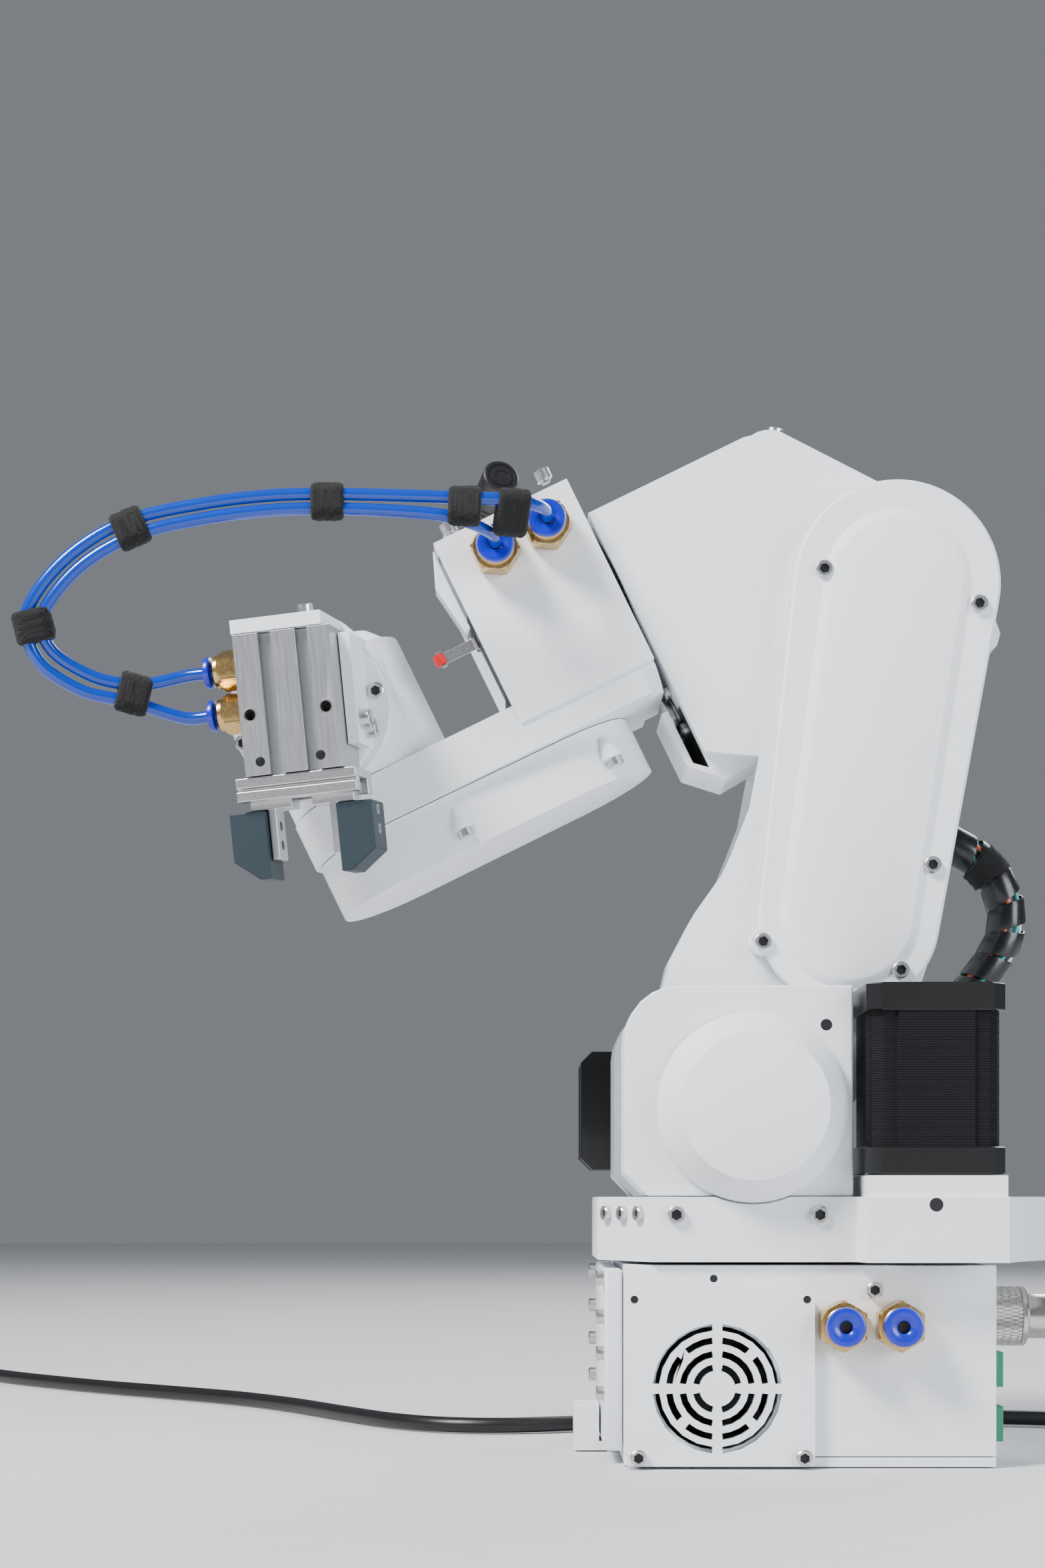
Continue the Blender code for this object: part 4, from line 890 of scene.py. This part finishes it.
def make_turntable():
    for node, width in (("turntable", 0.7), ("shoulder_near", 0.8), ("shoulder_far", 0.8)):
        softened(node, "turntable", WORLD, "white", width)
    softened("shoulder_bearing", "turntable", WORLD, "steel", 0.4)
    bm = bmesh.new()
    turned(bm, ((-63.3, 29.4), (-65.2, 29.2), (-74.3, 23.2), (-74.9, 22.7), (-75.2, 21.9)),
           UPRIGHT @ Matrix.Translation((*SHOULDER, 0)), 96)
    cap = piece("shoulder_cap_finished", bm, WORLD, "turntable", "white_cap",
                25)
    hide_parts("shoulder_cap")
    screws("deck_screws", [(x, DECK_FRONT, 77.5) for x in (-46.9, -3.0)], MINUS_Y, WORLD,
           "turntable", 2.8, 1.8)
    corner, along = Vector((-54.4, DECK_FRONT, 77.8)), Vector((-15.6, 31, 0))
    screws("chamfer_screws", [corner + along * t for t in (0.2, 0.5, 0.8)], (-0.893, -0.449, 0),
           WORLD, "turntable", 2.4, 2.0)
    holes("turntable_holes", [(30.9, -76.5, 80.6)], MINUS_Y, WORLD, "turntable", 2.1)
    holes("cheek_hole", [(-0.7, BASE_FRONT, 135.8)], MINUS_Y, WORLD, "turntable", 1.8)
    stepper("waist_motor", LEVEL, WAIST_MOTOR, NEMA_17, 89.8, 148.0, 8.5, WORLD, "turntable")
    stepper("shoulder_motor", UPRIGHT, SHOULDER_MOTOR, NEMA_17, 67.3, 105.0, 8.5, WORLD,
            "turntable")
    toothed("waist_motor_pulley", LEVEL, WAIST_MOTOR, PINION, PINION_TEETH, 69.2, 75.2, WORLD,
            "waist_pinion")
    toothed("shoulder_motor_pulley", UPRIGHT, SHOULDER_MOTOR, PINION, PINION_TEETH, 46, 52,
            WORLD, "shoulder_pinion")
    belt("waist_belt", LEVEL, (0, 0), WAIST_WHEEL, WAIST_MOTOR, PINION, 69.5, 74.9, WORLD,
         "turntable")
    belt("shoulder_belt", UPRIGHT, SHOULDER, SHOULDER_WHEEL, SHOULDER_MOTOR, PINION, 46.3, 51.7,
         WORLD, "turntable")


# ---------------------------------------------------------------- upper arm and elbow

# Places on the upper arm's side, across and along it
ELBOW_AT = (0.0, 176.0)
DRIVE_AT = (15.3, 68.5)
ROLL_MOTOR = (0, -2.5)
# The belt cover's steps as (height, radius at the elbow, radius at the motor)
COVER_ROWS = ((-25.8, 33, 29), (-30.3, 33, 29), (-31.0, 32.2, 28.2), (-31.0, 23.6, 22.4),
              (-31.3, 23.0, 21.8), (-32.4, 20.8, 19.9), (-32.6, 20.2, 19.3))
COVER_SCREWS = ((-23.8, 173.3), (26.8, 176.5), (-9.2, 53.6), (35.6, 57.2), (35.9, 92.3))


def make_upper_arm():
    softened("upper_arm_frame", "upper_arm", UPPER, "white_upper", 0.6)
    bm = bmesh.new()
    stack(bm, [(height, capsule(ELBOW_AT, upper, DRIVE_AT, lower, 40))
               for height, upper, lower in COVER_ROWS], UPRIGHT)
    cover = piece("upper_arm_cover_finished", bm, UPPER, "upper_arm", "white_upper",
                  20)
    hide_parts("upper_arm_cover")
    bosses = bmesh.new()
    for place in COVER_SCREWS:
        stack(bosses, rounds(((-25.7, 4.4), (-30.6, 4.4), (-31.05, 3.9)), center=place),
              UPRIGHT)
    piece("upper_arm_bosses", bosses, UPPER, "upper_arm", "white_upper", 30)
    screws("upper_arm_screws", [(x, -31.0, z) for x, z in COVER_SCREWS], MINUS_Y, UPPER,
           "upper_arm", height=1.9)
    stepper("elbow_motor", UPRIGHT, DRIVE_AT, NEMA_17, -18.5, 24.0, 8.0, UPPER, "upper_arm")
    toothed("shoulder_shaft", UPRIGHT, (0, 0), SHOULDER_WHEEL, 51, 46, 52, UPPER, "upper_arm",
            hub=(-36.5, 53, 6.0))
    toothed("elbow_motor_pulley", UPRIGHT, DRIVE_AT, PINION, PINION_TEETH, -30.3, -26.3, UPPER,
            "elbow_pinion")
    belt("elbow_belt", UPRIGHT, ELBOW_AT, ELBOW_WHEEL, DRIVE_AT, PINION, -30.0, -26.6, UPPER,
         "upper_arm")


def make_elbow():
    softened("elbow_housing", "elbow", FORE, "white_fore", 0.9)
    toothed("elbow_pulley", UPRIGHT, (0, 0), ELBOW_WHEEL, 72, 26.3, 30.3, FORE, "elbow",
            hub=(-27, 27, 6.0))
    discs = bmesh.new()
    outline = []
    # A circle that stays inside the housing's rear curve, its underside and its sloping roof
    for across, up in circle(1, 120):
        reach = 30.6 if across < -0.37 else 43.0
        if up < 0:
            reach = min(reach, 29.6 / -up)
        if up > 1.333 * across:
            reach = min(reach, 45.0 / (up - 1.333 * across))
        outline.append((reach * across, reach * up))
    for low, high in ((21.3, 21.85), (-21.85, -21.3)):
        stack(discs, [(low, outline), (high, outline)], UPRIGHT)
    piece("elbow_discs", discs, FORE, "elbow", "white_fore_flat", 30)
    stepper("roll_motor", FACING, ROLL_MOTOR, NEMA_14, 38, 71.5, 7.5, FORE, "elbow")
    screws("roof_screws", [(11.6, y, 63) for y in (-13, 13)], (-0.62, 0, 0.79), FORE, "elbow")
    wheel = bmesh.new()
    turned(wheel, ((78.3, 6.8), (78.9, 6.8), (79.3, 5.2), (79.9, 5.2), (80.3, 6.8),
                   (80.9, 6.8), (81.0, 2.6), (81.4, 2.4)),
           FACING @ Matrix.Translation((*ROLL_MOTOR, 0)), 32)
    piece("roll_motor_pulley", wheel, FORE, "elbow", "steel", 30)
    # A thin dark sheet on the elbow's face: partly the dark parts behind the guard, partly
    # painted shade of the slot between the face and the guard's wall.
    plate = bmesh.new()
    box(plate, (78.05, -12.2, -24.6), (78.25, 16, -2.8))
    piece("guard_plate_and_slot_shade", plate, FORE, "elbow", "dark", 30)
    screws("guard_screws", [(78.2, y, z) for z in (-9.5, 4) for y in (9.5, -9.5)], PLUS_X, FORE,
           "elbow", 2.2, 1.8)


# ---------------------------------------------------------------- wrist, hand and gripper

WRIST_MOTOR = (105.6, 0)
WRIST_AXLE = (179.0, 0)
BELT_COVER_FACE = -9.6
GRIPPER_FACE = 69.6


def make_wrist():
    softened("wrist_housing", "wrist", FORE, "white_fore", 0.9)
    softened("wrist_lid", "wrist", FORE, "white_fore_flat", 0.7)
    softened("wrist_belt_cover", "wrist", FORE, "white_fore", 2.2, segments=4)
    screws("lid_screws", [(x, y, z) for x, z in ((121.2, 78.0), (86.5, 80.0))
                          for y in (-25.6, 25.6)], PLUS_Z, FORE, "wrist", height=3.6)
    bosses = bmesh.new()
    places = ((159.0, 26.0), (105.6, 22.4), (159.0, -26.0), (105.6, -22.4))
    for place in places:
        stack(bosses, rounds(((BELT_COVER_FACE, 3.2), (-9.2, 3.5), (-8.0, 3.5), (-2.0, 1.2)),
                             center=place))
    piece("belt_cover_bosses", bosses, FORE, "wrist", "white_fore", 30)
    screws("belt_cover_screws", [(x, y * 1.03, BELT_COVER_FACE) for x, y in places], MINUS_Z,
           FORE, "wrist")
    for index, x in enumerate((93.2, 111.4)):
        air_fitting(f"forearm_fitting_{index + 1}", (x, 30.3, 65), PLUS_Y, FORE, "wrist")
    toothed("roll_pulley", FACING, (0, 43.5), ROLL_WHEEL, 66, 78.4, 80.2, FORE, "wrist",
            material="dark", hub=(60, 80.2, 6.0))
    stepper("wrist_motor", LEVEL, WRIST_MOTOR, NEMA_17, 19.4, 56, 8.0, FORE, "wrist")
    toothed("wrist_motor_pulley", LEVEL, WRIST_MOTOR, WRIST_PINION, 23, -9, -3, FORE, "wrist",
            hub=(-9, 19.4, 2.5), extra=True)
    belt("wrist_belt", LEVEL, WRIST_AXLE, WRIST_WHEEL, WRIST_MOTOR, WRIST_PINION, -8.7, -3.3,
         FORE, "wrist")
    make_connector()
    make_limit_switch()


def make_connector():
    """A round black connector on the lid: ribbed barrel, stepped cap with turned rings."""
    start, end = Vector((109, -18, 86)), Vector((96.5, 10, 91.5))
    long = (end - start).length
    bm = bmesh.new()
    ribs = []
    for i in range(7):
        at = 4 + i * 2.2
        ribs += [(at, 5.9), (at + 0.3, 5.5), (at + 1.1, 5.5), (at + 1.4, 5.9)]
    profile = ([(0, 4.4), (0.6, 5.4), (2, 5.9)] + ribs
               + [(long - 5, 5.9), (long - 4.8, 6.0), (long - 0.6, 6.0), (long, 5.5),
                  (long, 4.6), (long - 0.35, 4.5), (long - 0.35, 3.6), (long, 3.5),
                  (long, 2.3), (long - 0.3, 2.2)])
    turned(bm, profile, pointing(start, end - start), 48)
    turned(bm, ((80.3, 4.6), (81.2, 4.4), (86, 4.0)), Matrix.Translation((107, -14, 0)), 32)
    cap = piece("connector_cap_finished", bm, FORE, "wrist", "dark", 30)
    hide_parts("connector_cap")


def make_limit_switch():
    """The microswitch's lever between two cheeks, its red roller and its three pins."""
    softened("limit_switch", "wrist", FORE, "dark", 0.4)
    lever = bmesh.new()
    box(lever, (129.4, 23.5, 41.2), (141.5, 24.1, 44.8))
    turned(lever, ((41.0, 0.9), (45.0, 0.9)), Matrix.Translation((129.4, 24.1, 0)), 16)
    box(lever, (140.6, 23.5, 40.4), (142.4, 25.6, 41.1))
    box(lever, (140.6, 23.5, 44.9), (142.4, 25.6, 45.6))
    arm = piece("limit_lever_finished", lever, FORE, "limit_lever", "steel", 30)
    rounded(arm, 0.12, 1)
    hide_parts("limit_lever")
    roller = bmesh.new()
    turned(roller, ((41.2, 1.7), (41.5, 2.0), (44.5, 2.0), (44.8, 1.7)),
           Matrix.Translation((142.1, 24.1, 0)), 24)
    piece("limit_roller", roller, FORE, "limit_lever", "red", 30)
    pins = bmesh.new()
    for z in (39, 43, 47):
        box(pins, (113.4, 23.4, z - 0.9), (116.2, 24.8, z + 0.9))
    piece("limit_switch_pins", pins, FORE, "wrist", "brass")


def make_hand():
    softened("hand_housing", "hand", HAND, "white_hand", 1.6, segments=4)
    softened("hand_motor", "hand", HAND, "black", 0.5)
    toothed("wrist_axle", LEVEL, (0, 0), WRIST_WHEEL, 54, -52.5, -46.5, HAND, "hand",
            hub=(-52.5, -24.6, 6.0))
    softened("tool_flange", "tool", TOOL, "nickel", 0.5)


def make_gripper():
    softened("tool_bracket", "tool", TOOL, "white_tool", 0.7)
    softened("gripper_body", "tool", TOOL, "aluminium", 0.5)
    softened("gripper_rail", "tool", TOOL, "steel", 0.35)
    screws("bracket_top_screw", [(62, 6.4, 26)], PLUS_Z, TOOL, "tool", height=3.4)
    screws("bracket_side_screws", [(55.5, 19.2, -6.4), (48.6, 19.2, -8.6)], PLUS_Y, TOOL,
           "tool", 3.0, 3.4)
    screws("bracket_disc_screw", [(43, 22.2, 3.4), (43, -22.2, -8)], PLUS_X, TOOL, "tool", 2.6,
           1.2)
    rims, pins_and_bore_shade = bmesh.new(), bmesh.new()
    for y in (-12.0, 12.0):
        bore = pointing((GRIPPER_FACE, y, -3), PLUS_X)
        turned(rims, ((-7.9, 2.05), (0.05, 2.05), (0.05, 1.75), (-0.5, 1.62), (-7.9, 1.6)),
               bore, 28, hollow=True)
        # A dark plug at each bore's floor: painted shade deep in the bore.
        turned(pins_and_bore_shade, ((-7.9, 1.6), (-6.0, 1.6)), bore, 20)
    piece("gripper_threads", rims, TOOL, "tool", "steel", 30)
    for y in (-10.2, 8.9):
        turned(pins_and_bore_shade, ((-1, 1.5), (0.05, 1.5), (0.12, 1.3)),
               pointing((GRIPPER_FACE, y, -17.4), PLUS_X), 24)
    piece("gripper_pins_and_bore_shade", pins_and_bore_shade, TOOL, "tool", "stator", 30)
    for index, z in enumerate((13.0, -0.3)):
        air_fitting(f"gripper_fitting_{index + 1}", (56, -15.6, z), MINUS_Y, TOOL, "tool",
                    11.0)
    for side, sign in (("left", -1), ("right", 1)):
        softened(f"jaw_{side}", f"jaw_{side}", TOOL, "steel", 0.3, 2)
        softened(f"finger_{side}", f"jaw_{side}", TOOL, "teal", 0.5)
        holes(f"jaw_bores_{side}", [(58.3, sign * 8.6, z) for z in (-36.5, -42.5)],
              (0, -sign, 0), TOOL, f"jaw_{side}", 1.5)
        screws(f"finger_screws_{side}", [(58.3, sign * 22.35, z) for z in (-34.5, -40.5)],
               (0, sign, 0), TOOL, f"jaw_{side}", 1.9, 0.3)


finish = make_materials()
set_the_stage()
make_hoses()
make_cable()
make_conduit()
make_base()
make_turntable()
make_upper_arm()
make_elbow()
make_wrist()
make_hand()
make_gripper()
